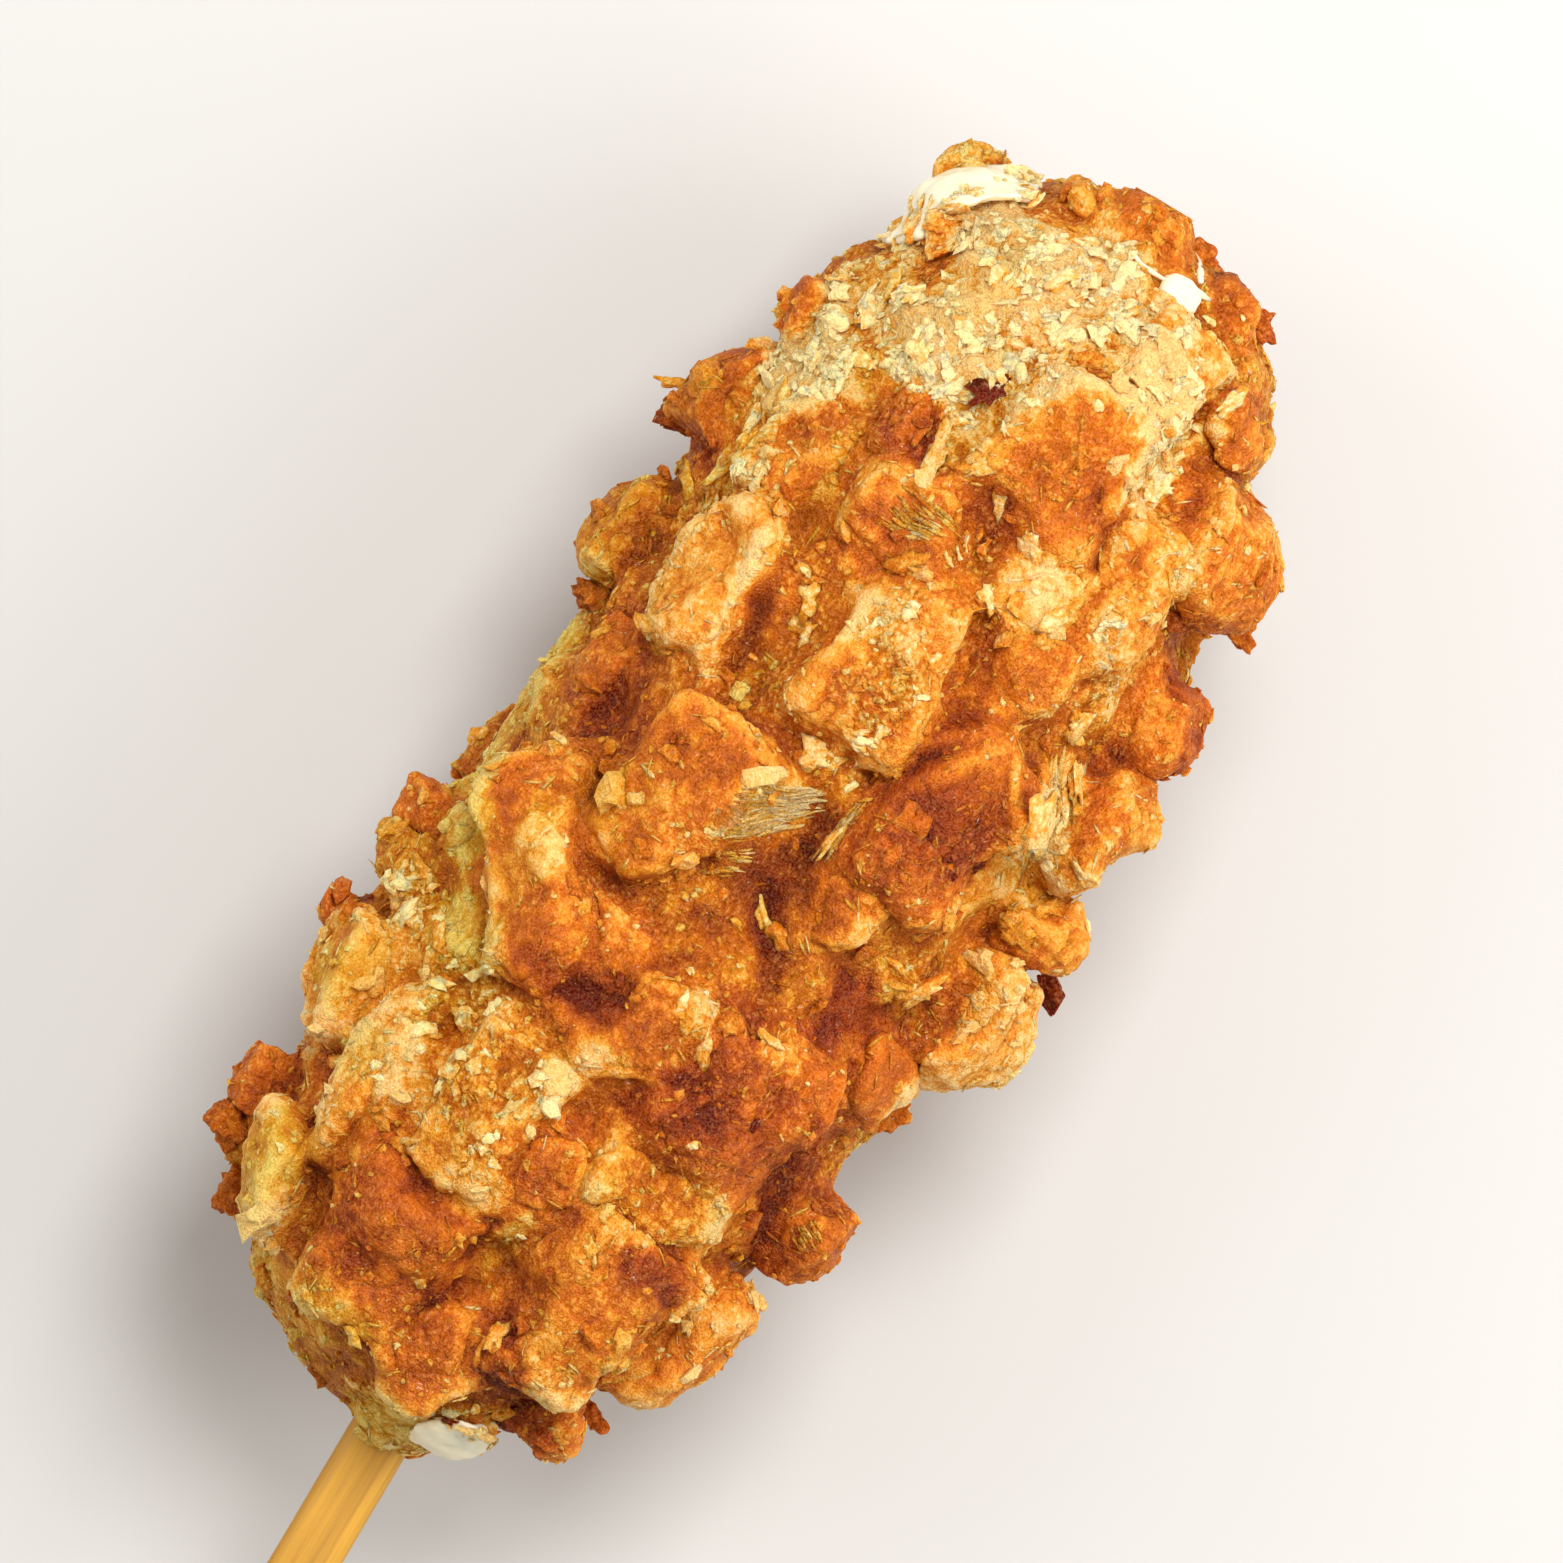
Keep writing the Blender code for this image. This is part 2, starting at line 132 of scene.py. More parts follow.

# Patches of the shown side: x, y, half length, half width in mm, turn in degrees, frying, olive, crumb
# Most set the crust's own tone; some are painted shade in hollows and under pieces, such as those at (-57,
# 18.5), (-57, 3), (-32, -22.5), (-26, 6), (-1, 16), (-4, -6) and (17, 9.8), and the pale strip at (17.5, 13)
# is a painted highlight on a lit face
TONE_AND_SHADE_PATCHES = (
    (55, 6, 19, 12, 0, -0.12, 0.03, 1.0),
    (41, 18.5, 13, 5, 0, -0.03, 0.35, 1.0),
    (-71, 13, 6, 12, 0, 0.30, 0.80, 0.2),
    (-75, 0, 3, 6, 0, -0.06, 0.60, 0.4),
    (-66, 1, 6, 5, 0, 0.56, 0.0, 0.3),
    (-57, 9.5, 7, 6, 0, 0.70, 0.0, 0.2),
    (-57, 18.5, 8, 2, 0, 0.34, 0.4, 0.2),
    (-57, 3, 8, 2.5, -15, 0.68, 0.2, 0.2),
    (-52, -1, 6, 1.5, -20, 0.20, 0.50, 0.3),
    (-54, -13, 8, 7, 0, 0.40, 0.2, 0.3),
    (-47, -16, 3, 5, 0, 0.90, 0.0, 0.2),
    (-64, -8, 3, 3, 0, 0.87, 0.1, 0.3),
    (-61, -5, 3.5, 3, 0, 0.76, 0.0, 0.4),
    (-43, 22, 4, 2.5, 0, 0.20, 0.80, 0.3),
    (-48, 19, 3, 3, 0, 0.38, 0.35, 0.2),
    (-35, 25.5, 2.5, 2.5, 0, 0.20, 0.5, 0.3),
    (-32, 16, 6, 4, 0, 0.40, 0.9, 0.8),
    (-41, 8, 8, 6, 0, 0.43, 0.45, 0.7),
    (-43.5, 0, 5, 3.5, 0, 0.64, 0.0, 0.3),
    (-40, -12, 5.5, 7.5, 0, 0.47, 0.45, 0.4),
    (-32, -22.5, 8, 2.5, 0, 0.82, 0.0, 0.1),
    (-26, 6, 3.2, 9, 0, 0.88, 0.05, 0.1),
    (-25.5, -2.8, 5, 3, 0, 0.60, 0.25, 0.5),
    (-27, -15, 8, 7, 0, 0.71, 0.0, 0.2),
    (-23, -13, 2.5, 4, 20, 0.66, 0.0, 0.2),
    (-21, -16, 2.5, 3.5, -30, 0.32, 0.0, 0.4),
    (-22, 8, 4, 5, 0, 0.68, 0.25, 0.3),
    (-18, 24, 4, 3, 0, 0.20, 0.9, 0.2),
    (-27, 19, 4, 4, 0, 0.16, 0.9, 0.3),
    (-27, 26, 4, 3, 0, 0.25, 0.6, 0.9),
    (-2, 27, 13, 2.5, 0, 0.04, 0.8, 0.3),
    (-1, 16, 6, 4, 0, 0.86, 0.3, 0.1),
    (-8, 14, 5, 4, 0, 0.52, 0.85, 0.1),
    (-4, -6, 11, 3.5, 6, 0.72, 0.85, 0.2),
    (-5, -12.5, 5, 2.5, 0, 0.76, 0.25, 0.3),
    (-3, 7.5, 7, 6, 0, 0.50, 0.2, 0.3),
    (-0.4, -1.6, 6, 4.2, -60, 0.06, 0.05, 0.3),
    (8, -19, 9, 6.5, -30, 0.75, 0.0, 0.15),
    (4, -25, 8, 2.5, 0, 0.30, 0.0, 0.3),
    (4, 22.5, 5, 3, 0, 0.47, 0.5, 0.2),
    (17.5, 15.5, 8, 4, 0, 0.20, 0.15, 0.2),
    (17.5, 13, 7, 1, 5, 0.0, 0.0, 0.4),
    (17, 9.8, 8, 1.8, 9, 0.60, 0.7, 0.1),
    (33, 16, 4, 3, 0, 0.45, 0.1, 0.3),
    (37, 13, 3, 2.5, 0, 0.62, 0.1, 0.3),
    (41, 6.5, 5, 4.5, 0, 0.94, 0.0, 0.2),
    (33, 4, 4, 3.5, 0, 0.57, 0.0, 0.2),
    (33, -1, 3.5, 3, 0, 0.61, 0.2, 0.3),
    (28, 10, 5, 3, 0, 0.14, 0.6, 0.3),
    (36, 10.5, 5, 2, 0, 0.50, 0.6, 0.3),
    (18, -5, 9, 5, 0, 0.32, 0.2, 0.9),
    (26, -18, 4, 3.5, 0, 0.53, 0.0, 0.2),
    (34, -14, 3, 2.5, 0, 0.08, 0.0, 0.6),
    (64, -2, 7, 9, 0, -0.14, 0.0, 1.0),
    (45, -9, 6.5, 6, 0, 0.59, 0.05, 0.2),
    (43, -13, 3, 2.5, 0, 0.60, 0.0, 0.2),
    (55, -4, 6, 3, 0, 0.05, 0.0, 0.8),
    (58, -13, 7, 4.5, 0, -0.20, 0.0, 0.8),
    (50, -18, 9, 3, 5, -0.16, 0.0, 0.8),
    (45, -24, 8, 3, 10, 0.20, 0.0, 0.4),
    (48, -23.5, 4, 1.5, 15, 0.54, 0.0, 0.1),
    (57, -24, 4, 2, 5, 0.54, 0.0, 0.1),
    (68.5, -18, 2.5, 2.5, 0, 0.56, 0.0, 0.1),
    (72, -4.5, 3, 5.5, 0, 0.53, 0.0, 0.1),
    (67, -9, 2.5, 3, 0, 0.12, 0.0, 0.3),
    (56.5, 12.6, 3.0, 2.0, 0, 0.46, 0.0, 0.5),
    (62, 14.4, 2.5, 1.8, 0, 0.44, 0.1, 0.4),
    (-8.5, -33, 7, 3, 0, 0.20, 0.0, 0.3),
    (-8.5, -27.5, 6, 2, 0, 0.54, 0.0, 0.3),
    (3.5, -33, 3.5, 4.5, 0, 0.36, 0.0, 0.3),
    (7, -30, 2.5, 3, 0, 0.14, 0.0, 0.2),
    (15.5, -34, 6, 3, 0, 0.36, 0.0, 0.3),
    (27, -36, 4, 1.5, 0, 0.84, 0.0, 0.4),
    (-36, -29, 5, 4, 0, 0.74, 0.2, 0.4),
    (-20, -30, 5, 2, 0, 0.10, 0.0, 0.5),
    (-20, -25, 5, 2.5, 0, 0.70, 0.0, 0.2),
    (-11, -8, 7, 2.4, 30, 0.75, 0.45, 0.2),
    (-13.5, -19.2, 5, 4, 0, 0.97, 0.0, 0.1),
    (-30.5, -10, 3.5, 4.5, 0, 0.88, 0.0, 0.15),
    (9, -17, 6, 5, 0, 0.80, 0.0, 0.1),
    (45.5, 23.5, 4, 3.5, 0, 0.68, 0.1, 0.3),
    (33, 27, 6, 4, 0, 0.53, 0.6, 0.2),
    (-26, 21, 3, 2.5, 0, 0.16, 0.9, 0.3),
    (14, 6.5, 6, 1.6, 0, 0.50, 0.6, 0.3),
    (66.8, 15.4, 3.5, 3.5, 0, 0.34, 0.5, 0.3),
    (-6, -3, 7, 2, 0, 0.70, 0.6, 0.2),
    (15, -27.5, 6, 3, 20, 0.06, 0.0, 0.5),
    (-12, 27, 5, 3, 0, 0.10, 0.9, 0.4),
    (-16.6, 17.8, 7, 4, 0, 0.18, 0.5, 0.2),
    (-36.5, 27.5, 6, 4, 0, 0.30, 0.95, 0.1),
    (-57.5, 24, 6, 4.5, 0, 0.28, 0.95, 0.1),
    (70.5, 3.8, 5, 5, 0, 0.36, 0.15, 0.2),
    (56.5, -20.5, 4, 3, 0, 0.06, 0.0, 0.7),
    (34, -24, 6, 4, 0, 0.20, 0.0, 0.4),
    (28, -29, 6, 4, 0, 0.34, 0.0, 0.3),
    (7, 26.5, 7, 3, 0, 0.16, 0.9, 0.3),
    (33, 20.5, 5, 3, 0, 0.24, 0.6, 0.5),
    (-12, 8, 4, 3, 0, 0.68, 0.5, 0.2),
    (-14, -2, 5, 3, 0, 0.66, 0.5, 0.2),
    (14.2, -22.4, 5, 0.7, 31, 0.52, 0.0, 0.2),
    (12.6, -15.4, 7, 0.7, -37, 0.62, 0.0, 0.2),
    (2.0, -7.4, 3.0, 1.6, -30, 0.74, 0.5, 0.1),
)

# Ridges and hollows of the shown side: x, y, half length, half width in mm, turn in degrees, lift in mm
FOLDS = (
    (-58, 2, 9, 2.5, -20, -1.8),
    (-57, 18.5, 8, 2, 0, -0.9),
    (-52, 0, 6, 1.3, -20, 1.0),
    (-32, -22.5, 8, 2.5, 0, -1.6),
    (-26.5, 6, 2.6, 7, 0, -1.6),
    (-2, 16, 7, 4, 10, -2.4),
    (-5, -6, 9, 3, -10, -1.8),
    (17, 9.8, 8, 1.5, 9, -1.7),
    (56.5, -21, 3.5, 2.5, -30, 1.5),
    (33, 6.8, 4.5, 1.2, 0, 1.2),
    (28.8, 4, 1.2, 3, 15, 0.9),
    (37.2, 4, 1.2, 3, -15, 0.9),
    (33, 0.8, 3.4, 2.4, 0, -1.6),
    (18, 1, 9, 1.2, 0, 0.8),
    (44, -14.5, 5, 1.2, 25, -1.0),
    (39, -7, 1.2, 5, 0, -0.9),
    (52, -23, 8, 1.5, 5, -1.0),
    (64, -9, 1.5, 3, 0, -0.8),
    (8.5, -1, 3.5, 4, 0, -2.0),
    (8.5, -9, 3, 3, 0, -1.6),
    (28, 1, 3, 3, 0, -1.6),
    (17, -11.5, 4.5, 2.5, 0, 1.4),
    (22, -5, 2, 6, -30, 0.7),
    (8.5, 21, 3, 3, 0, -1.8),
    (26.5, 10, 3.5, 2.5, 0, -1.8),
    (5.5, 13, 2.5, 2.5, 0, 1.2),
    (28, 19, 3, 2.5, 0, 1.2),
    (-11, -8, 6, 1.8, 30, -1.4),
    (60.6, 12.8, 3.5, 3, 0, -1.3),
    (14.2, -22.4, 5, 1.0, 31, 1.1),
    (12.6, -15.4, 7, 1.0, -37, 1.0),
    (13.6, -13.8, 6, 1.0, -37, -0.9),
    (15.6, -24.0, 5, 1.0, 31, -0.9),
)

# Notches of the outline, and bulges where the depth is negative: x, y, radius and depth in mm
NOTCHES = (
    (-70.2, -13.4, 3.6, 3.5),
    (-61.0, -20.4, 3.4, 3.3),
    (-47.0, -27.0, 2.5, -1.0),
    (-44.0, -26.0, 2.5, 1.4),
    (-41.5, -29.2, 4.0, 2.5),
    (-30.5, -28.8, 2.5, -1.0),
    (-24.4, -30.0, 2.5, -0.2),
    (-19.2, -30.5, 2.5, -1.0),
    (-15.0, -33.0, 3.4, 4.0),
    (-6.0, -38.5, 4.0, 0.7),
    (1.8, -38.0, 2.2, -0.8),
    (7.0, -36.2, 3.0, 1.6),
    (12.2, -36.8, 4.0, 2.8),
    (22.0, -37.0, 3.0, 2.2),
    (32.0, -36.5, 2.5, 1.0),
    (37.0, -33.0, 4.0, 3.2),
    (51.5, -32.5, 3.0, 1.0),
    (54.8, -29.8, 3.5, 2.4),
    (60.8, -27.2, 3.0, 1.0),
    (75.4, -5.3, 4.0, -0.9),
    (73.8, 2.3, 3.0, 1.0),
    (72.0, 8.8, 2.5, 1.8),
    (66.3, 18.8, 2.2, 1.0),
    (61.5, 19.0, 2.4, 1.6),
    (58.6, 20.2, 3.0, 2.2),
    (52.5, 22.0, 3.5, -1.0),
    (46.5, 24.5, 3.0, -0.3),
    (40.4, 26.2, 3.8, 3.2),
    (23.3, 28.3, 4.0, 2.4),
    (16.0, 32.0, 3.0, 0.8),
    (12.9, 30.6, 2.5, 1.6),
    (-5.0, 29.8, 5.0, 1.0),
    (-11.6, 29.9, 2.5, 1.5),
    (-18.5, 33.5, 3.0, 0.9),
    (-22.5, 32.4, 2.5, -0.8),
    (-29.5, 31.8, 2.5, -0.8),
    (-38.6, 33.6, 4.5, 0.8),
    (-42.0, 31.8, 3.0, 1.8),
    (-44.5, 30.5, 2.5, 0.9),
    (-52.5, 33.8, 3.0, 0.6),
)

# Bits that stick out of the outline: x, y of both ends, z, width and thickness in mm, frying, olive
SPURS = (
    (-0.2, -34.6, -3.1, -39.0, 33.0, 2.3, 1.6, 1.0, 0.0),
    (33.6, 28.0, 32.2, 31.4, 34.0, 1.2, 1.0, 0.30, 0.6),
    (31.5, 25.0, 29.2, 29.3, 33.0, 3.6, 3.2, 0.72, 0.4),
    (12.0, 23.0, 8.8, 27.2, 34.0, 4.6, 3.6, 0.60, 0.7),
    (-56.0, 28.0, -58.7, 32.0, 34.0, 4.6, 4.2, 0.62, 0.5),
    (-60.5, 24.0, -64.4, 27.0, 33.0, 4.4, 3.8, 0.62, 0.4),
    (-21.2, -26.5, -20.4, -30.6, 34.0, 4.4, 3.6, 0.50, 0.2),
    (67.5, -17.5, 70.0, -21.0, 33.0, 4.0, 3.6, 0.72, 0.0),
    (69.6, -9.6, 73.2, -12.1, 34.0, 4.0, 3.6, 0.56, 0.0),
    (-63.2, -16.5, -65.0, -19.8, 31.0, 2.4, 2.0, 0.62, 0.0),
    (42.2, -32.0, 39.4, -35.6, 33.0, 3.0, 2.6, 0.52, 0.0),
)

# Single flakes and flecks of the shown side: x, y, length, width, thickness in mm, turn, frying, olive
FLAKES = (
    (-10, -6.7, 4.4, 1.3, 0.8, 45, 0.14, 0.35),
    (-10.8, -9, 2.6, 1.8, 1.0, 70, 0.30, 0.30),
    (0.4, -8.8, 4.4, 0.9, 0.7, -10, 0.12, 0.15),
    (6.5, -3, 3.4, 3.0, 1.4, 80, 0.10, 0.15),
    (10, -6, 2.2, 0.8, 0.6, 80, 0.05, 0.0),
    (11, -6.8, 2.4, 0.9, 0.6, -75, 0.05, 0.0),
    (-25.3, -8.5, 2.3, 1.9, 0.8, 60, 0.15, 0.0),
    (-34, -12.3, 1.1, 0.8, 0.6, 0, 0.08, 0.0),
    (-29.2, -16.7, 1.3, 1.0, 0.5, 20, 1.0, 0.0),
    (6.3, -16.8, 1.6, 1.2, 0.9, 60, 1.0, 0.0),
    (3.5, -21.4, 0.9, 0.6, 0.4, 0, 0.95, 0.0),
    (-6.8, -25.6, 1.2, 0.5, 0.4, -20, 0.95, 0.0),
    (-71.5, -5.5, 2.0, 1.2, 0.7, 30, 0.95, 0.0),
    (-9, -24, 4.0, 2.6, 1.0, 25, 0.16, 0.15),
    (-7.6, -21.6, 2.6, 1.0, 0.7, 70, 0.20, 0.1),
    (19, -27, 7.6, 3.2, 1.0, 30, 0.12, 0.1),
    (12.4, -26, 6.0, 2.6, 1.0, 28, 0.14, 0.1),
    (14.5, -28.4, 4.0, 1.5, 0.9, 35, 0.10, 0.1),
    (10.5, -32.8, 3.0, 1.6, 0.8, 80, 0.12, 0.1),
    (2, -30, 3.2, 2.4, 1.0, 70, 0.26, 0.4),
    (48.7, 0.7, 4.4, 2.7, 0.7, -10, 1.0, 0.0),
    (40.7, 2.5, 5.2, 2.6, 0.9, 15, 0.12, 0.1),
    (39.3, -5.8, 4.2, 1.5, 0.8, 20, 0.12, 0.1),
    (40.6, -2, 3.6, 1.5, 0.7, -35, 0.16, 0.1),
    (28.8, -1, 5.6, 1.6, 1.0, -52, 0.30, 0.35),
    (45.5, -2.5, 1.8, 0.6, 0.5, 50, 0.05, 0.0),
    (31, -4.4, 1.8, 0.7, 0.5, 60, 0.10, 0.0),
    (32.2, -4.9, 1.8, 0.7, 0.5, 40, 0.10, 0.0),
    (33.4, -5, 1.6, 0.6, 0.5, 20, 0.10, 0.0),
    (53, 14.9, 4.0, 2.2, 1.2, 8, 0.12, 0.6),
    (53.1, 12.5, 4.2, 1.5, 0.9, -3, 0.04, 0.1),
    (53, 6.5, 3.2, 2.2, 1.2, 20, 0.02, 0.0),
    (59, 6.5, 2.8, 2.0, 1.1, 35, 0.04, 0.0),
    (61.5, 1, 3.0, 2.2, 1.2, -30, 0.02, 0.0),
    (56.4, -2.5, 3.4, 2.6, 1.1, 60, 0.04, 0.0),
    (47.5, 9, 3.4, 2.0, 1.0, 30, 0.05, 0.2),
    (44.5, 14, 3.6, 1.8, 1.0, -40, 0.08, 0.4),
    (36, 18.6, 4.0, 2.0, 1.1, 10, 0.12, 0.6),
    (31, 20, 3.0, 1.8, 0.9, 50, 0.14, 0.7),
    (24.5, 22.5, 4.4, 1.6, 0.9, 65, 0.16, 0.8),
    (26.8, 20.6, 3.0, 1.4, 0.8, 20, 0.16, 0.8),
    (-27.5, 26.5, 3.4, 2.0, 1.1, 30, 0.18, 0.4),
    (-24, 25.5, 2.8, 1.8, 1.0, -30, 0.16, 0.4),
    (-29.5, 20.5, 3.0, 1.8, 1.0, 60, 0.20, 0.5),
    (20.5, 6, 3.2, 2.0, 0.9, 40, 0.16, 0.3),
    (17.5, 4.5, 3.0, 2.0, 0.9, -20, 0.14, 0.2),
    (-61, -5, 3.2, 2.2, 1.0, 30, 0.22, 0.0),
    (-48.5, -9, 3.0, 1.6, 0.8, 35, 0.14, 0.1),
    (57.5, -27, 2.6, 1.6, 0.8, 10, 0.10, 0.1),
    (49, -19.5, 3.4, 1.8, 0.9, -35, 0.06, 0.0),
    (60, -21, 3.6, 1.6, 0.9, -25, 0.08, 0.0),
    (36.5, -11, 3.6, 2.4, 1.0, 20, 0.08, 0.0),
    (31.5, -16.5, 3.0, 2.0, 1.0, -60, 0.10, 0.0),
    (24, -24.5, 3.6, 2.0, 1.0, -30, 0.12, 0.0),
    (30, -9.5, 3.4, 1.6, 0.9, 45, 0.10, 0.0),
)

# Fans of torn potato fibre: x, y in mm of both ends of the roots' line, then of the tips', number, frying
FANS = (
    (3.0, 1.6, -6.0, 1.0, 4.6, -4.6, 1.6, -6.4, 240, 0.10),
    (30.6, 3.4, 35.4, 3.2, 31.4, -3.0, 34.4, -3.6, 60, 0.26),
    (4.9, -9.7, 4.5, -8.7, -3.4, -8.8, -3.1, -7.5, 46, 0.12),
    (-9.5, 1.2, -6.4, 0.4, -7.2, -3.6, -4.6, -3.2, 26, 0.20),
    (13.4, -28.0, 15.6, -25.2, 20.6, -25.2, 21.4, -22.8, 30, 0.17),
    (-38.0, -25.0, -34.0, -26.6, -39.0, -28.6, -36.0, -30.0, 20, 0.30),
)

# Strings of melted cheese: x, y of both ends, and width in mm
STRINGS = (
    (68.1, -3.2, 68.0, -9.6, 0.6),
    (69.3, -12.2, 74.4, -8.4, 1.1),
    (68.0, -11.0, 68.6, -13.9, 1.0),
)
STRAND_SIDES = 5
STRAND_STEPS = 6


class CrumbKind(NamedTuple):
    """A kind of crumb: its number, shapes, sizes in mm, tones and the way it lies."""

    name: str
    setting: str  # holds how many there are
    shapes: tuple  # how many shapes, their roundness and seed
    length: tuple  # from and to
    width: tuple  # from and to, as a share of the length, or in mm for threads
    thickness: tuple  # likewise
    frying: tuple  # share of the crust's frying, then mean and spread of what is added
    tilt: float  # degrees
    raised: float  # share of its thickness
    olive: float = 1.0  # share of the crust's olive
    crumb: tuple = (0.0, 1.0)  # fixed part, and share of the crust's crumb
    growth: tuple = (1.0, 0.0)  # part of the length on bare crust, and what crumby crust adds
    torn_by: float = 0.35
    thread: bool = False
    finish: str = "deep_fried_batter"


CRUMB_KINDS = (
    CrumbKind(
        "panko_flakes",
        "panko_count",
        shapes=(14, 2, 101),
        length=(0.7, 3.4),
        width=(0.5, 0.9),
        thickness=(0.22, 0.46),
        frying=(0.72, 0.02, 0.07),
        tilt=26,
        raised=0.05,
        olive=0.4,
        crumb=(0.4, 0.0),
        growth=(0.55, 0.45),
        torn_by=0.5,
        finish="dry_panko_crumb",
    ),
    CrumbKind(
        "fine_crumbs",
        "fine_count",
        shapes=(12, 1, 131),
        length=(0.35, 1.5),
        width=(0.6, 1.0),
        thickness=(0.45, 0.8),
        frying=(0.8, -0.02, 0.10),
        tilt=30,
        raised=0.05,
    ),
    CrumbKind(
        "toasted_crumbs",
        "toasted_count",
        shapes=(12, 2, 151),
        length=(0.9, 4.6),
        width=(0.5, 0.9),
        thickness=(0.35, 0.7),
        frying=(1.0, -0.04, 0.13),
        tilt=28,
        raised=0.0,
        crumb=(0.0, 0.8),
        torn_by=0.45,
    ),
    CrumbKind(
        "potato_shreds",
        "shred_count",
        shapes=(10, 3, 171),
        length=(2.2, 5.5),
        width=(0.5, 1.1),
        thickness=(0.4, 0.8),
        frying=(0.8, 0.0, 0.06),
        tilt=14,
        raised=0.15,
        olive=0.6,
        crumb=(0.3, 0.0),
        torn_by=0.5,
        thread=True,
    ),
    CrumbKind(
        "torn_slivers",
        "sliver_count",
        shapes=(12, 1, 181),
        length=(0.9, 3.2),
        width=(0.2, 0.42),
        thickness=(0.2, 0.35),
        frying=(1.0, -0.10, 0.10),
        tilt=24,
        raised=0.25,
        olive=0.8,
        crumb=(0.3, 0.0),
        thread=True,
    ),
)


def linear(hex_colour):
    """An sRGB hex colour as linear red, green, blue and alpha."""
    parts = [int(hex_colour[at : at + 2], 16) / 255 for at in (1, 3, 5)]
    return tuple(((c + 0.055) / 1.055) ** 2.4 if c > 0.04045 else c / 12.92 for c in parts) + (1.0,)


def colour_property(name, description, hex_colour):
    return FloatVectorProperty(
        name=name,
        description=description,
        subtype="COLOR",
        size=4,
        min=0.0,
        max=1.0,
        default=linear(hex_colour),
    )


class SkewerSettings(PropertyGroup):
    """Sizes and colours of the skewer."""

    batter_spacing: FloatProperty(
        name="Batter spacing",
        description="Distance between the points of the batter's surface",
        default=0.71 * MM,
        unit="LENGTH",
    )
    dice_spacing: FloatProperty(
        name="Dice spacing",
        description="Distance between the points of a potato piece's surface",
        default=0.50 * MM,
        unit="LENGTH",
    )
    panko_count: IntProperty(name="Panko flakes", description="Number of pale flakes", default=2350)
    fine_count: IntProperty(name="Fine crumbs", description="Number of small golden crumbs", default=6000)
    toasted_count: IntProperty(name="Toasted bits", description="Number of batter bits", default=900)
    shred_count: IntProperty(name="Potato shreds", description="Number of thin shreds", default=26)
    sliver_count: IntProperty(name="Slivers", description="Number of torn hair-thin slivers", default=3200)
    cream_colour: colour_property("Barely fried", "Palest crust and potato", "#FFCC84")
    panko_colour: colour_property("Panko", "Palest bread crumb", "#FFDE9E")
    golden_colour: colour_property("Golden", "Lightly fried crust", "#EE9E38")
    orange_colour: colour_property("Orange", "Well fried crust", "#D06E1C")
    russet_colour: colour_property("Russet", "Darkly fried crust", "#A24816")
    burnt_colour: colour_property("Burnt", "Burnt edges and pits", "#6A2607")
    # Painted highlight: the near-white colour of the glints mixed into the crust's base colour
    painted_glint_colour: colour_property("Glints", "Tiny specks that catch the light", "#FFF0D6")
    wood_colour: colour_property("Stick wood", "Bare birch", "#CB952A")
    cheese_colour: colour_property("Cheese", "Melted white cheese", "#F8EDD2")
    floor_colour: colour_property("Floor", "Plain pale floor", "#CFCDC9")


def cell_value(cell, seed):
    """A repeatable value from 0 to 1 for each whole-numbered cell."""
    mixed = cell[:, 0] * 73856093 ^ cell[:, 1] * 19349663 ^ cell[:, 2] * 83492791 ^ (seed + 7) * 2654435761
    mixed = (mixed ^ (mixed >> 13)) * 1274126177
    mixed = mixed ^ (mixed >> 16)
    return (mixed & 0xFFFF) / 0xFFFF


def waves(points, size, seed):
    """Smooth random relief from about -1 to 1, with bumps about size mm across."""
    place = points / size + 0.37 * seed
    cell = np.floor(place).astype(np.int64)
    part = place - cell
    part = part * part * (3 - 2 * part)
    total = np.zeros(len(points))
    for corner in CORNERS:
        weight = np.prod(np.where(corner, part, 1 - part), axis=1)
        total += weight * cell_value(cell + corner, seed)
    return (total - 0.5) * 2.8


def torn(points, size, seed):
    """Height from 0 to about 1 of rough lumps with sharp creases between them, size mm across."""
    shift = np.stack([waves(points, size * 1.3, seed + 60 + axis) for axis in range(3)], axis=1)
    return np.abs(waves(points + 0.45 * size * shift, size, seed))


def ease(value, low, high):
    """0 below low, 1 above high, and a smooth step between."""
    part = np.clip((value - low) / (high - low), 0, 1)
    return part * part * (3 - 2 * part)


def points_of(mesh):
    """A mesh's points in mm."""
    points = np.empty(len(mesh.vertices) * 3)
    mesh.vertices.foreach_get("co", points)
    return points.reshape(-1, 3) / MM


def normals_of(mesh):
    normals = np.empty(len(mesh.vertices) * 3)
    mesh.vertex_normals.foreach_get("vector", normals)
    return normals.reshape(-1, 3)


def edges_of(mesh):
    edges = np.empty(len(mesh.edges) * 2, dtype=np.int64)
    mesh.edges.foreach_get("vertices", edges)
    return edges.reshape(-1, 2)


def set_points(mesh, points):
    mesh.vertices.foreach_set("co", (points * MM).ravel())
    mesh.update()


def softened(points, edges, rounds):
    """Points drawn half way to the mean of their neighbours, this many times."""
    count = np.bincount(edges.ravel(), minlength=len(points))[:, None]
    points = points.copy()
    for _ in range(rounds):
        total = np.empty_like(points)
        for axis in range(3):
            along = points[:, axis]
            total[:, axis] = np.bincount(edges[:, 0], along[edges[:, 1]], len(points))
            total[:, axis] += np.bincount(edges[:, 1], along[edges[:, 0]], len(points))
        points += 0.5 * (total / np.maximum(count, 1) - points)
    return points


def kept_in_box(points):
    """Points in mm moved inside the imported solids' box."""
    return np.clip(points, np.array(cad_box[0]) / MM, np.array(cad_box[1]) / MM)


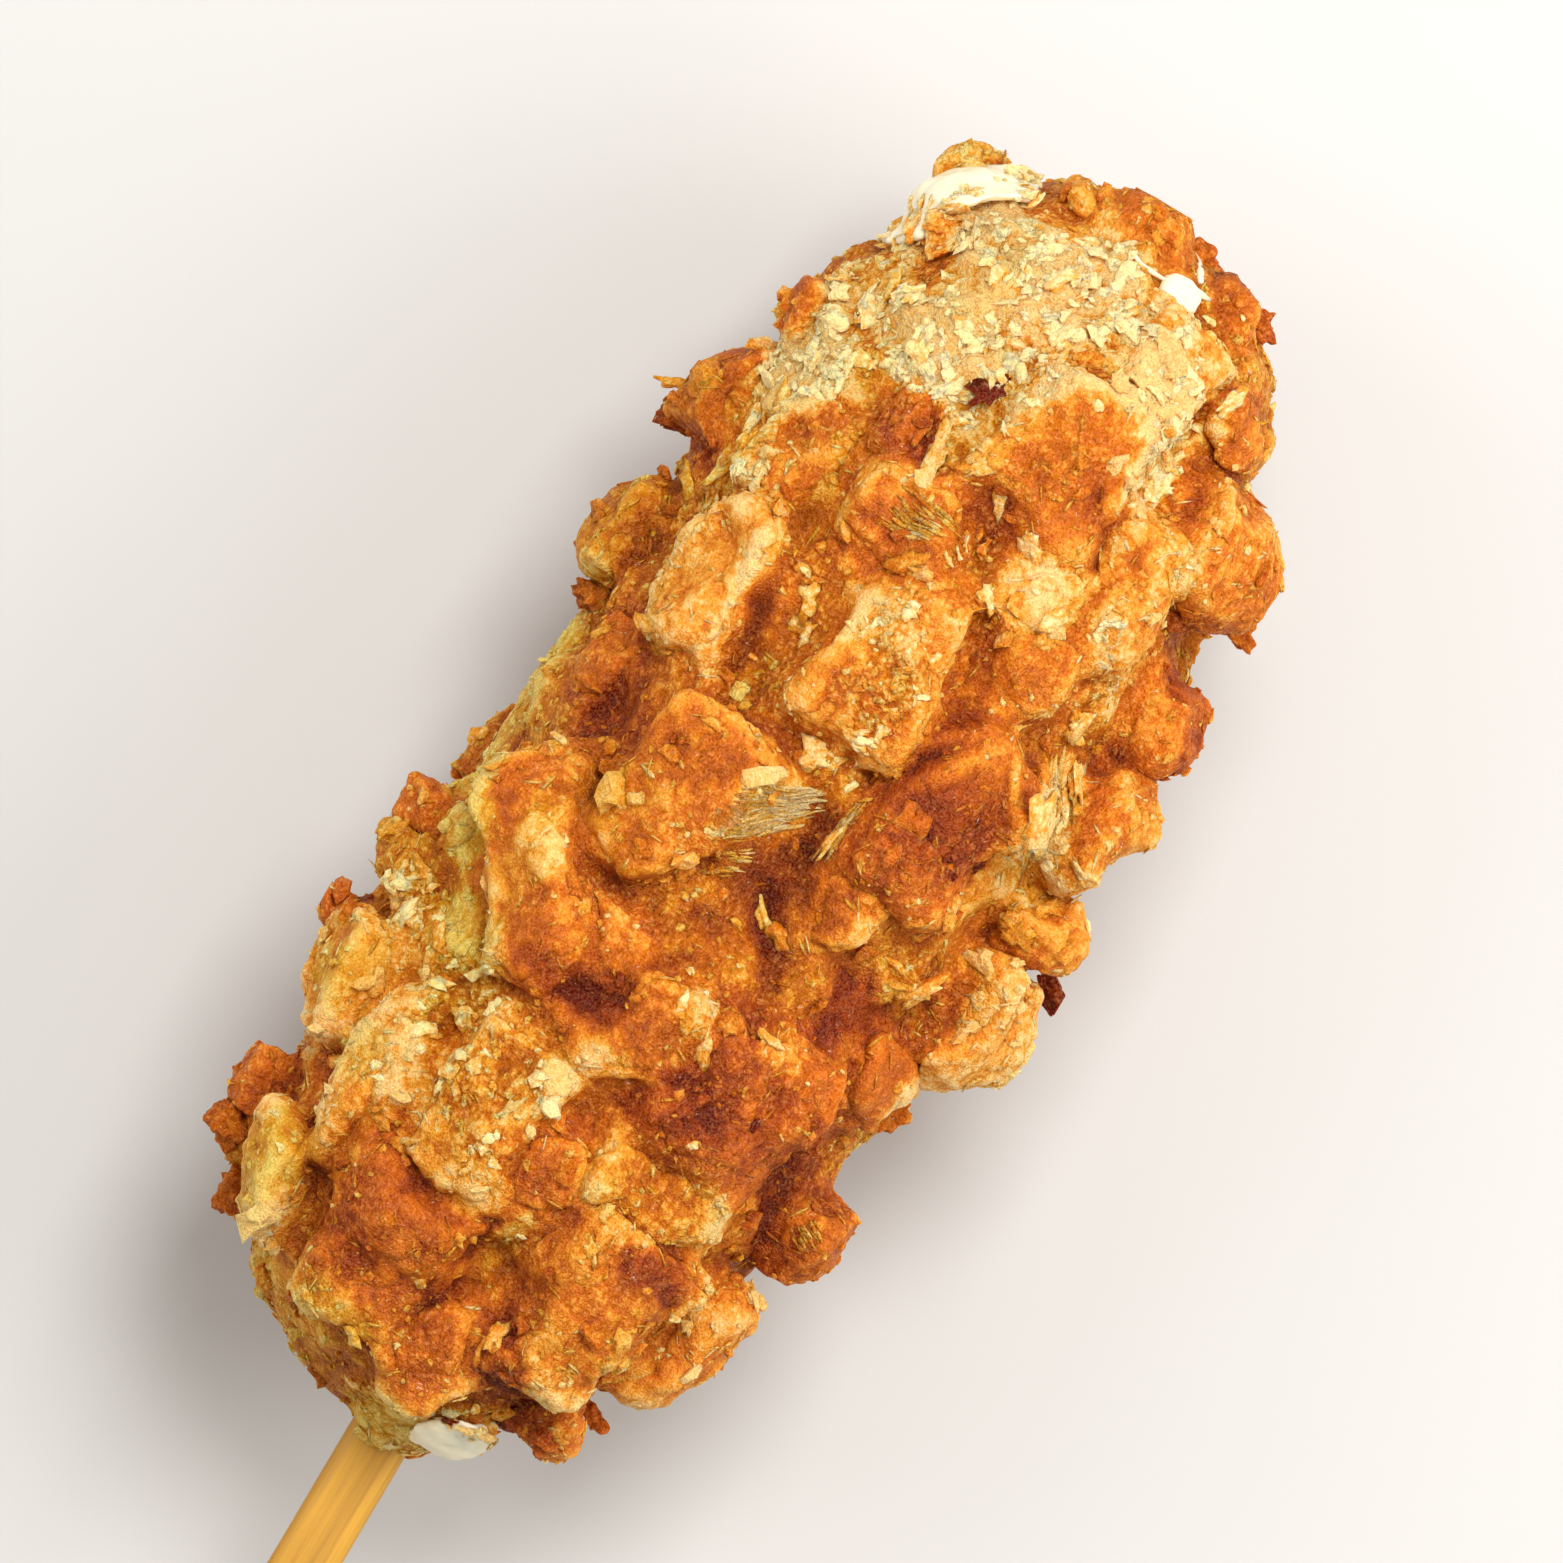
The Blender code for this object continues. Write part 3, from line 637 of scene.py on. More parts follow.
def solid_shape(name):
    """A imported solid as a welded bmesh."""
    shape = bmesh.new()
    shape.from_mesh(frame["nodes"][name].data)
    bmesh.ops.remove_doubles(shape, verts=shape.verts, dist=1e-6)
    return shape


def linked(name, mesh):
    piece = bpy.data.objects.new(name, mesh)
    bpy.context.scene.collection.objects.link(piece)
    return piece


def even_skin(shape, name, spacing):
    """The closed shapes in a bmesh as one piece with evenly spaced points."""
    mesh = bpy.data.meshes.new(name)
    shape.to_mesh(mesh)
    shape.free()
    rough = linked(name + "_rough", mesh)
    remesh = rough.modifiers.new("even_skin", "REMESH")
    remesh.mode = "VOXEL"
    remesh.voxel_size = spacing
    graph = bpy.context.evaluated_depsgraph_get()
    skin = bpy.data.meshes.new_from_object(rough.evaluated_get(graph))
    bpy.data.objects.remove(rough)
    skin.name = name
    skin.polygons.foreach_set("use_smooth", [True] * len(skin.polygons))
    return linked(name, skin)


def soft_skin(shape, name, spacing, rounds):
    """A bmesh's even skin as a piece, its mesh, and its points in mm, softened this many times."""
    piece = even_skin(shape, name, spacing)
    return piece, piece.data, softened(points_of(piece.data), edges_of(piece.data), rounds)


def moved_to(mesh, points):
    """Puts a mesh's points at these places in mm, and gives the normals there."""
    set_points(mesh, points)
    return normals_of(mesh)


def raise_relief(mesh, points, normals, height):
    """Moves a mesh's points out along their normals by these heights in mm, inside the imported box."""
    set_points(mesh, kept_in_box(points + normals * height[:, None]))


def write_tone(mesh, tone):
    """Stores frying, olive and crumb for every point, for the materials to read."""
    rgba = np.ones((len(tone), 4))
    rgba[:, :3] = np.clip(tone, 0, 1)
    layer = mesh.color_attributes.get("tone") or mesh.color_attributes.new("tone", "FLOAT_COLOR", "POINT")
    layer.data.foreach_set("color", rgba.ravel())


def read_tone(mesh):
    rgba = np.empty(len(mesh.vertices) * 4)
    mesh.color_attributes["tone"].data.foreach_get("color", rgba)
    return rgba.reshape(-1, 4)[:, :3]


def spread_about(points, x, y, turn):
    """Distances of points in mm along and across a line through x, y at that turn in degrees."""
    c, s = math.cos(math.radians(turn)), math.sin(math.radians(turn))
    away = points[:, :2] - (x, y)
    return away @ (c, s), away @ (-s, c)


def patched(points, tone):
    """Tone with the shown side's own patches laid over it, with ragged edges; some patches are painted shade
    or painted light.
    """
    tone = tone.copy()
    ragged = 0.22 * waves(points, 2.6, 41) + 0.14 * waves(points, 1.1, 42)
    shown = ease(points[:, 2], AXIS_HEIGHT - 8, AXIS_HEIGHT + 4)
    for x, y, half_length, half_width, turn, *wanted in TONE_AND_SHADE_PATCHES:
        along, aside = spread_about(points, x, y, turn)
        cover = shown * (1 - ease(np.hypot(along / half_length, aside / half_width) + ragged, 0.55, 1.2))
        tone += 0.85 * cover[:, None] * (np.array(wanted) - tone)
    return tone


def bent(points):
    """Points in mm pushed about smoothly, so that no piece keeps a straight side."""
    push = np.stack([waves(points, 6.5, 5 + axis) for axis in range(3)], axis=1)
    strength = ease(points[:, 2], 2, 9) + 0.4 * ease(points[:, 2], AXIS_HEIGHT + 12, AXIS_HEIGHT + 22)
    return points + push * (1.05, 1.05, 0.7) * strength[:, None]


def folded(points):
    """Points in mm with the shown side's own ridges and hollows."""
    lift = np.zeros(len(points))
    for x, y, half_length, half_width, turn, height in FOLDS:
        along, aside = spread_about(points, x, y, turn)
        lift += height * np.exp(-1.4 * ((along / half_length) ** 2 + (aside / half_width) ** 2))
    lift *= ease(points[:, 2], AXIS_HEIGHT, AXIS_HEIGHT + 14)
    return points + lift[:, None] * (0, 0, 1)


def notched(points):
    """Points in mm drawn in towards the food's middle line where its outline is notched."""
    inward = np.stack([np.clip(points[:, 0], -55, 50), middle_y(points[:, 0])], 1) - points[:, :2]
    inward /= np.maximum(np.linalg.norm(inward, axis=1), 1)[:, None]
    moved = points.copy()
    for x, y, radius, depth in NOTCHES:
        away = np.linalg.norm(points[:, :2] - (x, y), axis=1)
        moved[:, :2] += (depth * np.exp(-1.2 * (away / radius) ** 2))[:, None] * inward
    return moved


def middle_y(x):
    """Where the food's middle line runs, in mm: it leans a little across the stick."""
    return -1.0 - 3.5 * np.tanh((x + 12) / 22)


def round_the_middle(points):
    """Distance from the food's middle line in mm, and the cell of the surface map a point falls in."""
    y = points[:, 1] - middle_y(points[:, 0])
    z = points[:, 2] - AXIS_HEIGHT
    row = np.clip(((points[:, 0] - MAP_START) / MAP_STEP).astype(int), 0, MAP_ROWS - 1)
    turn = ((np.arctan2(y, z) / (2 * math.pi) + 0.5) * MAP_TURNS).astype(int) % MAP_TURNS
    return np.hypot(y, z), row, turn


def surface_level(points):
    """A map of the food's outer surface, smoothed over a few mm, as distances from its middle line."""
    reach, row, turn = round_the_middle(points)
    level = np.zeros((MAP_ROWS, MAP_TURNS))
    np.maximum.at(level, (row, turn), reach)
    known = (level > 0).astype(float)
    for _ in range(14):
        for store in (level, known):
            along = np.pad(store, ((1, 1), (0, 0)), mode="edge")
            store[:] = (along[:-2] + 2 * store + along[2:]) / 4
            store[:] = (np.roll(store, 1, 1) + 2 * store + np.roll(store, -1, 1)) / 4
    return level / np.maximum(known, 1e-6)


def fried(points, depth, slope, broad, fine, tone, seed):
    """Tone with the unevenness of frying, large patches and small spots, plus painted light and shade: pale
    tops, brown hollows and sides.
    """
    tone = patched(points, tone)
    tone[:, 0] += 0.02 + 0.11 * waves(points, 7.0, seed) + 0.06 * waves(points, 3.0, seed + 1)
    tone[:, 0] += 0.04 * waves(points, 1.4, seed + 2)
    # Painted shade and light: more frying, so darker, in hollows, deep below the surface and on sides turned
    # away from outward; less on bumps and tops
    tone[:, 0] += 0.09 * np.clip(broad / 0.5, -0.8, 1.2) + 0.08 * np.clip(fine / 0.12, -1.0, 0.4)
    tone[:, 0] += 0.16 * np.clip(depth / 3.0, -0.7, 1.0) + 0.08 * (slope - 0.3)
    # The olive added with depth is painted shade in the hollows; its waves are the batter's own
    tone[:, 1] += 0.18 * waves(points, 6.0, seed + 3) + 0.35 * np.clip(depth / 3.0, 0.0, 1.0)
    tone[:, 2] += 0.20 * waves(points, 5.0, seed + 4)
    return np.clip(tone, 0, 1)


def hollowness(points, normals, edges, rounds):
    """How far in mm a point lies below the smoothed surface round it."""
    return np.einsum("ij,ij->i", softened(points, edges, rounds) - points, normals)


def add_node(tree, kind, settings=None, values=None, links=None):
    """Adds a node with its settings, the values of its sockets and the sockets linked to them."""
    node = tree.nodes.new(kind)
    for name, value in (settings or {}).items():
        setattr(node, name, value)
    for name, value in (values or {}).items():
        node.inputs[name].default_value = value
    for name, source in (links or {}).items():
        tree.links.new(source, node.inputs[name])
    return node


def new_material(name):
    material = bpy.data.materials.new(name)
    material.use_nodes = True
    material.node_tree.nodes.clear()
    return material, material.node_tree


def per_mm(size):
    """A texture's scale for a pattern size mm across."""
    return 1.0 / (size * MM)


def fried_crust_material(name, settings):
    """Deep-fried crust: browned starch, rough and crumbly, wetted by oil, that lets some light through, with
    painted shade in its fine pits and painted glints.
    """
    pale_setting, grain_mm, relief_mm, shine, contrast = CRUSTS[name]
    palest = getattr(settings, pale_setting)
    material, tree = new_material(name)
    place = add_node(tree, "ShaderNodeTexCoord").outputs["Object"]
    tone = add_node(tree, "ShaderNodeAttribute", {"attribute_name": "tone"})
    parts = add_node(tree, "ShaderNodeSeparateColor", links={"Color": tone.outputs["Color"]})
    coarse = add_node(
        tree,
        "ShaderNodeTexNoise",
        values={"Scale": per_mm(grain_mm), "Detail": 4.0, "Roughness": 0.65, "Distortion": 0.8},
        links={"Vector": place},
    )
    fine = add_node(
        tree, "ShaderNodeTexNoise", values={"Scale": per_mm(0.24), "Detail": 2.0}, links={"Vector": place}
    )
    drift = add_node(
        tree, "ShaderNodeTexNoise", values={"Scale": per_mm(0.7), "Detail": 0.0}, links={"Vector": place}
    )
    ragged = add_node(
        tree,
        "ShaderNodeVectorMath",
        {"operation": "MULTIPLY_ADD"},
        {1: (0.8 * MM, 0.8 * MM, 0.8 * MM)},
        {0: drift.outputs["Color"], 2: place},
    )
    cells = add_node(
        tree,
        "ShaderNodeTexVoronoi",
        values={"Scale": per_mm(0.75)},
        links={"Vector": ragged.outputs["Vector"]},
    )
    # Crumb-sized spots of lighter and darker frying
    spots = add_node(
        tree,
        "ShaderNodeMapRange",
        values={"From Min": 0.25, "From Max": 0.75, "To Min": -0.06, "To Max": 0.06},
        links={"Value": coarse.outputs["Fac"]},
    )
    frying = add_node(
        tree,
        "ShaderNodeMath",
        {"operation": "ADD"},
        links={0: parts.outputs["Red"], 1: spots.outputs["Result"]},
    )
    # Grains of crumb fused into the crust, paler on their tops; the darker tone between them is painted shade
    # in the pits
    grain_tone_and_pit_shade = add_node(
        tree,
        "ShaderNodeMapRange",
        values={"From Min": 0.12, "From Max": 0.72, "To Min": -0.10, "To Max": 0.07},
        links={"Value": cells.outputs["Distance"]},
    )
    crumbly = add_node(
        tree,
        "ShaderNodeMapRange",
        values={"To Min": 0.5, "To Max": 2.2},
        links={"Value": parts.outputs["Blue"]},
    )
    grainy = add_node(
        tree,
        "ShaderNodeMath",
        {"operation": "MULTIPLY_ADD"},
        links={0: grain_tone_and_pit_shade.outputs["Result"], 1: crumbly.outputs["Result"], 2: frying.outputs[0]},
    )
    ramp = add_node(tree, "ShaderNodeValToRGB", links={"Fac": grainy.outputs[0]})
    stops = (
        (0.05, palest),
        (0.26, settings.golden_colour),
        (0.46, settings.orange_colour),
        (0.74, settings.russet_colour),
        (1.0, settings.burnt_colour),
    )
    elements = ramp.color_ramp.elements
    while len(elements) < len(stops):
        elements.new(0.5)
    for element, (position, colour) in zip(elements, stops):
        element.position = position
        element.color = tuple(colour)
    # Thick batter soaked with oil turns olive tan in soft patches; the olive raised in hollows is painted
    # shade
    olive_part = add_node(
        tree, "ShaderNodeMath", {"operation": "MULTIPLY"}, {1: 0.9}, {0: parts.outputs["Green"]}
    )
    olive = add_node(
        tree,
        "ShaderNodeMix",
        {"data_type": "RGBA", "blend_type": "MULTIPLY"},
        {7: (0.74, 0.90, 0.42, 1.0)},
        {0: olive_part.outputs[0], 6: ramp.outputs["Color"]},
    )
    # Flour-fine crumb caught on the crust, lighter than what it lies on
    speck = add_node(
        tree,
        "ShaderNodeMapRange",
        values={"From Min": 0.42, "From Max": 0.15, "To Min": 0.0, "To Max": 0.35},
        links={"Value": cells.outputs["Distance"]},
    )
    speck_part = add_node(
        tree,
        "ShaderNodeMath",
        {"operation": "MULTIPLY"},
        links={0: speck.outputs["Result"], 1: parts.outputs["Blue"]},
    )
    dusted = add_node(
        tree,
        "ShaderNodeMix",
        {"data_type": "RGBA"},
        {7: tuple(palest)},
        {0: speck_part.outputs[0], 6: olive.outputs[2]},
    )
    # Grain too fine for the mesh: painted shade in the pits and painted highlight on the tops, without
    # changing the hue
    coarse_part = add_node(
        tree, "ShaderNodeMath", {"operation": "MULTIPLY"}, {1: 0.5}, {0: coarse.outputs["Fac"]}
    )
    grain = add_node(
        tree,
        "ShaderNodeMath",
        {"operation": "MULTIPLY_ADD"},
        {1: 1.9},
        {0: fine.outputs["Fac"], 2: coarse_part.outputs[0]},
    )
    shade = add_node(
        tree,
        "ShaderNodeMapRange",
        values={"From Min": 0.7, "From Max": 1.7, "To Min": 1 - contrast, "To Max": 1 + 0.9 * contrast},
        links={"Value": grain.outputs[0]},
    )
    painted_light_and_shade = add_node(
        tree,
        "ShaderNodeMapRange",
        values={"From Min": 0.7, "From Max": 1.7, "To Min": -0.040, "To Max": 0.036},
        links={"Value": grain.outputs[0]},
    )
    shaded = add_node(
        tree,
        "ShaderNodeVectorMath",
        {"operation": "MULTIPLY_ADD"},
        links={0: dusted.outputs[2], 1: shade.outputs["Result"], 2: painted_light_and_shade.outputs["Result"]},
    )
    # Painted highlights: tiny near-white specks mixed into the base colour where the noise peaks, standing in
    # for light caught by oil and torn starch
    painted_glint_noise = add_node(
        tree,
        "ShaderNodeTexNoise",
        values={"Scale": per_mm(0.8), "Detail": 3.0, "Roughness": 0.7, "Distortion": 1.2},
        links={"Vector": place},
    )
    painted_glint_amount = add_node(
        tree,
        "ShaderNodeMapRange",
        values={"From Min": 0.68, "From Max": 0.74, "To Min": 0.0, "To Max": 0.55},
        links={"Value": painted_glint_noise.outputs["Fac"]},
    )
    painted_glints = add_node(
        tree,
        "ShaderNodeMix",
        {"data_type": "RGBA"},
        {7: tuple(settings.painted_glint_colour)},
        {0: painted_glint_amount.outputs["Result"], 6: shaded.outputs["Vector"]},
    )
    # Oil pools in places and dries in others
    gloss = add_node(
        tree,
        "ShaderNodeMapRange",
        values={"From Min": 0.35, "From Max": 0.65, "To Min": 0.62 - shine, "To Max": 0.72},
        links={"Value": coarse.outputs["Fac"]},
    )
    height = add_node(
        tree,
        "ShaderNodeMath",
        {"operation": "SUBTRACT"},
        links={0: grain.outputs[0], 1: cells.outputs["Distance"]},
    )
    strength = add_node(
        tree,
        "ShaderNodeMapRange",
        values={"To Min": 0.5, "To Max": 1.0},
        links={"Value": parts.outputs["Blue"]},
    )
    bump = add_node(
        tree,
        "ShaderNodeBump",
        values={"Distance": relief_mm * MM},
        links={"Height": height.outputs[0], "Strength": strength.outputs["Result"]},
    )
    shader = add_node(
        tree,
        "ShaderNodeBsdfPrincipled",
        values={
            "IOR": 1.45,
            "Subsurface Weight": 0.55,
            "Subsurface Radius": (1.0, 0.6, 0.35),
            "Subsurface Scale": 1.2 * MM,
            "Specular IOR Level": 0.05,
            "Coat Weight": 0.16,
            "Coat Roughness": 0.20,
        },
        links={
            "Base Color": painted_glints.outputs[2],
            "Roughness": gloss.outputs["Result"],
            "Normal": bump.outputs["Normal"],
            "Coat Normal": bump.outputs["Normal"],
        },
    )
    add_node(tree, "ShaderNodeOutputMaterial", links={"Surface": shader.outputs["BSDF"]})
    return material


def birch_material(name, settings):
    """Flat-sawn birch: pale yellow wood with long fine grain, dry and nearly matt, oiled by handling."""
    material, tree = new_material(name)
    place = add_node(tree, "ShaderNodeTexCoord").outputs["Object"]
    stretched = add_node(
        tree, "ShaderNodeMapping", values={"Scale": (0.03, 1.0, 1.0)}, links={"Vector": place}
    )
    grain = add_node(
        tree,
        "ShaderNodeTexNoise",
        values={"Scale": per_mm(0.55), "Detail": 5.0, "Roughness": 0.6, "Distortion": 0.3},
        links={"Vector": stretched.outputs["Vector"]},
    )
    broad = add_node(
        tree,
        "ShaderNodeTexNoise",
        values={"Scale": per_mm(2.4), "Detail": 2.0},
        links={"Vector": stretched.outputs["Vector"]},
    )
    both = add_node(
        tree,
        "ShaderNodeMath",
        {"operation": "ADD"},
        links={0: grain.outputs["Fac"], 1: broad.outputs["Fac"]},
    )
    rings = add_node(
        tree,
        "ShaderNodeMapRange",
        values={"From Min": 0.72, "From Max": 1.28},
        links={"Value": both.outputs[0]},
    )
    ramp = add_node(tree, "ShaderNodeValToRGB", links={"Fac": rings.outputs["Result"]})
    wood = np.array(settings.wood_colour)
    stops = (
        (0.0, wood * (0.62, 0.54, 0.42, 1)),
        (0.45, wood * (0.88, 0.84, 0.74, 1)),
        (1.0, np.minimum(wood * 1.12, 1)),
    )
    elements = ramp.color_ramp.elements
    elements.new(0.5)
    for element, (position, colour) in zip(elements, stops):
        element.position = position
        element.color = tuple(colour)
    bump = add_node(
        tree,
        "ShaderNodeBump",
        values={"Strength": 0.5, "Distance": 0.12 * MM},
        links={"Height": grain.outputs["Fac"]},
    )
    gloss = add_node(
        tree,
        "ShaderNodeMapRange",
        values={"From Min": 0.3, "From Max": 0.7, "To Min": 0.42, "To Max": 0.65},
        links={"Value": grain.outputs["Fac"]},
    )
    shader = add_node(
        tree,
        "ShaderNodeBsdfPrincipled",
        values={
            "IOR": 1.5,
            "Subsurface Weight": 0.05,
            "Subsurface Radius": (1.0, 0.6, 0.3),
            "Subsurface Scale": MM,
        },
        links={
            "Base Color": ramp.outputs["Color"],
            "Roughness": gloss.outputs["Result"],
            "Normal": bump.outputs["Normal"],
        },
    )
    add_node(tree, "ShaderNodeOutputMaterial", links={"Surface": shader.outputs["BSDF"]})
    return material


def cheese_material(name, settings):
    """Melted mozzarella: white milk fat that scatters light deep inside under a smooth wet skin."""
    material, tree = new_material(name)
    place = add_node(tree, "ShaderNodeTexCoord").outputs["Object"]
    clouds = add_node(
        tree, "ShaderNodeTexNoise", values={"Scale": per_mm(1.8), "Detail": 3.0}, links={"Vector": place}
    )
    tint = add_node(tree, "ShaderNodeMix", {"data_type": "RGBA"}, links={0: clouds.outputs["Fac"]})
    cheese = np.array(settings.cheese_colour)
    tint.inputs[6].default_value = tuple(cheese)
    tint.inputs[7].default_value = tuple(cheese * (0.97, 0.9, 0.72, 1))
    bump = add_node(
        tree,
        "ShaderNodeBump",
        values={"Strength": 0.4, "Distance": 0.15 * MM},
        links={"Height": clouds.outputs["Fac"]},
    )
    shader = add_node(
        tree,
        "ShaderNodeBsdfPrincipled",
        values={
            "Roughness": 0.32,
            "IOR": 1.44,
            "Subsurface Weight": 0.5,
            "Subsurface Radius": (1.0, 0.8, 0.55),
            "Subsurface Scale": 1.5 * MM,
        },
        links={"Base Color": tint.outputs[2], "Normal": bump.outputs["Normal"]},
    )
    add_node(tree, "ShaderNodeOutputMaterial", links={"Surface": shader.outputs["BSDF"]})
    return material


def material_named(name, make, settings):
    return bpy.data.materials.get(name) or make(name, settings)


def climbing_batter(name, rng):
    """A potato piece's shape, grown a little and sunk, for the batter that climbs its sides."""
    shape = solid_shape(name)
    points = np.array([v.co for v in shape.verts]) / MM
    low, high = points.min(0), points.max(0)
    centre = (low + high) / 2
    outward = np.array((0.0, centre[1], centre[2] - AXIS_HEIGHT))
    outward /= np.linalg.norm(outward)
    grown = 1 + (0.2 + 1.0 * ease(outward[2], 0.25, 0.75)) / ((high - low) / 2)
    moved = centre + (points - centre) * grown - outward * rng.uniform(0.9, 2.2)
    for vertex, place in zip(shape.verts, moved):
        vertex.co = place * MM
    return shape


def nearest_dice(points):
    """For each point in mm, the nearest potato piece's slot tone, and how close it is, from 0 to 1."""
    trees = []
    for name in DICE:
        shape = solid_shape(name)
        low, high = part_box(name)
        low, high = np.array(low) / MM - CLOSE_BY, np.array(high) / MM + CLOSE_BY
        trees.append((BVHTree.FromBMesh(shape), low, high, name))
        shape.free()
    best = np.full(len(points), CLOSE_BY)
    tone = np.tile(np.array(FINISH["batter"]), (len(points), 1))
    for tree, low, high, name in trees:
        inside = np.nonzero(np.all((points > low) & (points < high), axis=1))[0]
        for at in inside:
            distance = tree.find_nearest(Vector(points[at] * MM))[3] / MM
            if distance < best[at]:
                best[at] = distance
                tone[at] = FINISH[SLOT_OF[name]]
    return tone, 1 - ease(best, 0.8, 2.8)


class SKEWER_OT_batter(Operator):
    """Makes the fried batter, one lumpy crust that climbs the potato pieces set in it."""

    bl_idname = "skewer.batter"
    bl_label = "Fried batter"

    def execute(self, context):
        settings = context.scene.skewer_settings
        rng = np.random.default_rng(3)
        whole = solid_shape("batter_crust")
        for name in DICE:
            skirt = climbing_batter(name, rng)
            mesh = bpy.data.meshes.new("skirt")
            skirt.to_mesh(mesh)
            skirt.free()
            whole.from_mesh(mesh)
            bpy.data.meshes.remove(mesh)
        collar = Matrix.Translation((COLLAR_X, 0, AXIS_HEIGHT * MM)) @ Matrix.Diagonal((*COLLAR_HALF_SIZE, 1))
        bmesh.ops.create_uvsphere(whole, u_segments=24, v_segments=16, radius=1.0, matrix=collar)
        piece, mesh, points = soft_skin(whole, CRUST, settings.batter_spacing, 11)
        base, close = nearest_dice(points)
        points = notched(folded(bent(points)))
        normals = moved_to(mesh, points)
        tone = np.array(FINISH["batter"]) + close[:, None] * (base - FINISH["batter"])
        crumb = patched(points, tone)[:, 2]
        height = 0.55 * waves(points, 6.5, 21) + 0.35 * waves(points, 2.6, 22)
        height += (0.16 + 0.70 * crumb) * (torn(points, 2.6, 11) + 0.7 * torn(points, 1.4, 15) - 0.75)
        height += 0.40 * ease(normals[:, 2], 0.2, 0.9) - 0.25
        height *= 0.1 + 0.9 * ease(points[:, 2], 0.1, 1.8)
        raise_relief(mesh, points, normals, height)
        write_tone(mesh, tone)
        mesh.materials.append(material_named("deep_fried_batter", fried_crust_material, settings))
        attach(piece, "root")
        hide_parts("batter_crust")
        return {"FINISHED"}


class SKEWER_OT_dice(Operator):
    """Makes the fried potato dice and fry pieces, each a piece of its own."""

    bl_idname = "skewer.dice"
    bl_label = "Potato dice"

    def execute(self, context):
        settings = context.scene.skewer_settings
        finish = material_named("fried_potato", fried_crust_material, settings)
        for name in DICE:
            piece, mesh, points = soft_skin(solid_shape(name), name + "_fried", settings.dice_spacing, 13)
            points = notched(folded(bent(points)))
            normals = moved_to(mesh, points)
            tone = np.tile(np.array(FINISH[SLOT_OF[name]]), (len(points), 1))
            crumb = patched(points, tone)[:, 2]
            height = 0.60 * waves(points, 4.6, 31) + 0.18 * waves(points, 2.0, 32)
            height += 0.12 * waves(points, 1.0, 33)
            lumps = 0.8 * torn(points, 2.0, 13) + 0.5 * torn(points, 1.1, 14) - 0.5
            height += (0.12 + 0.70 * crumb) * lumps
            height += 0.25 * ease(normals[:, 2], 0.0, 0.8)
            raise_relief(mesh, points, normals, height)
            write_tone(mesh, tone)
            mesh.materials.append(finish)
            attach(piece, "root")
            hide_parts(name)
        return {"FINISHED"}


class SKEWER_OT_frying_and_painted_shade(Operator):
    """Browns the crust and the dice together and paints light and shade into their tone: pale tops, orange
    slopes and dark hollows.
    """

    bl_idname = "skewer.frying"
    bl_label = "Frying"

    def execute(self, context):
        pieces = [bpy.data.objects[name] for name in (CRUST, *(die + "_fried" for die in DICE))]
        level = surface_level(np.concatenate([points_of(piece.data) for piece in pieces]))
        for piece in pieces:
            mesh = piece.data
            points = points_of(mesh)
            normals = normals_of(mesh)
            edges = edges_of(mesh)
            reach, row, turn = round_the_middle(points)
            depth = level[row, turn] - reach
            x = points[:, 0]
            outward = points - np.stack([x, middle_y(x), np.full(len(x), AXIS_HEIGHT)], 1)
            slope = 1 - np.einsum("ij,ij->i", normals, outward) / np.maximum(reach, 1)
            broad = hollowness(points, normals, edges, 20)
            fine = hollowness(points, normals, edges, 4)
            write_tone(mesh, fried(points, depth, slope, broad, fine, read_tone(mesh), 51))
        return {"FINISHED"}


def surface_spots(pieces, count, rng):
    """Random points spread evenly over the pieces, with their normals and tones."""
    places, normals, tones = [], [], []
    for piece in pieces:
        mesh = piece.data
        mesh.calc_loop_triangles()
        triangles = np.empty(len(mesh.loop_triangles) * 3, dtype=np.int64)
        mesh.loop_triangles.foreach_get("vertices", triangles)
        triangles = triangles.reshape(-1, 3)
        places.append(points_of(mesh)[triangles])
        normals.append(normals_of(mesh)[triangles])
        tones.append(read_tone(mesh)[triangles])
    places, normals, tones = np.concatenate(places), np.concatenate(normals), np.concatenate(tones)
    area = np.linalg.norm(np.cross(places[:, 1] - places[:, 0], places[:, 2] - places[:, 0]), axis=1)
    chosen = rng.choice(len(area), count, p=area / area.sum())
    share = rng.dirichlet((1, 1, 1), count)[:, :, None]
    normal = (normals[chosen] * share).sum(1)
    normal /= np.linalg.norm(normal, axis=1)[:, None]
    return (places[chosen] * share).sum(1), normal, (tones[chosen] * share).sum(1)


def tree_of(pieces):
    """A search tree over the pieces' surfaces, in metres."""
    points, faces = [], []
    for piece in pieces:
        start = len(points)
        points.extend(v.co.copy() for v in piece.data.vertices)
        faces.extend([start + at for at in polygon.vertices] for polygon in piece.data.polygons)
    return BVHTree.FromPolygons(points, faces)


def open_air(tree, place, normal):
    """Whether a point just outside a surface, in mm, is outside the tree's surface too."""
    test = Vector((place + 0.3 * normal) * MM)
    found, facing, _, _ = tree.find_nearest(test)
    return (test - found).dot(facing) > 0


def nearest_side(trees, spot):
    """The point of the trees' surfaces nearest to a spot in mm, with its normal."""
    found = [tree.find_nearest(Vector(spot) * MM) for tree in trees]
    place, normal, _, _ = min(found, key=lambda hit: hit[3])
    return place, normal


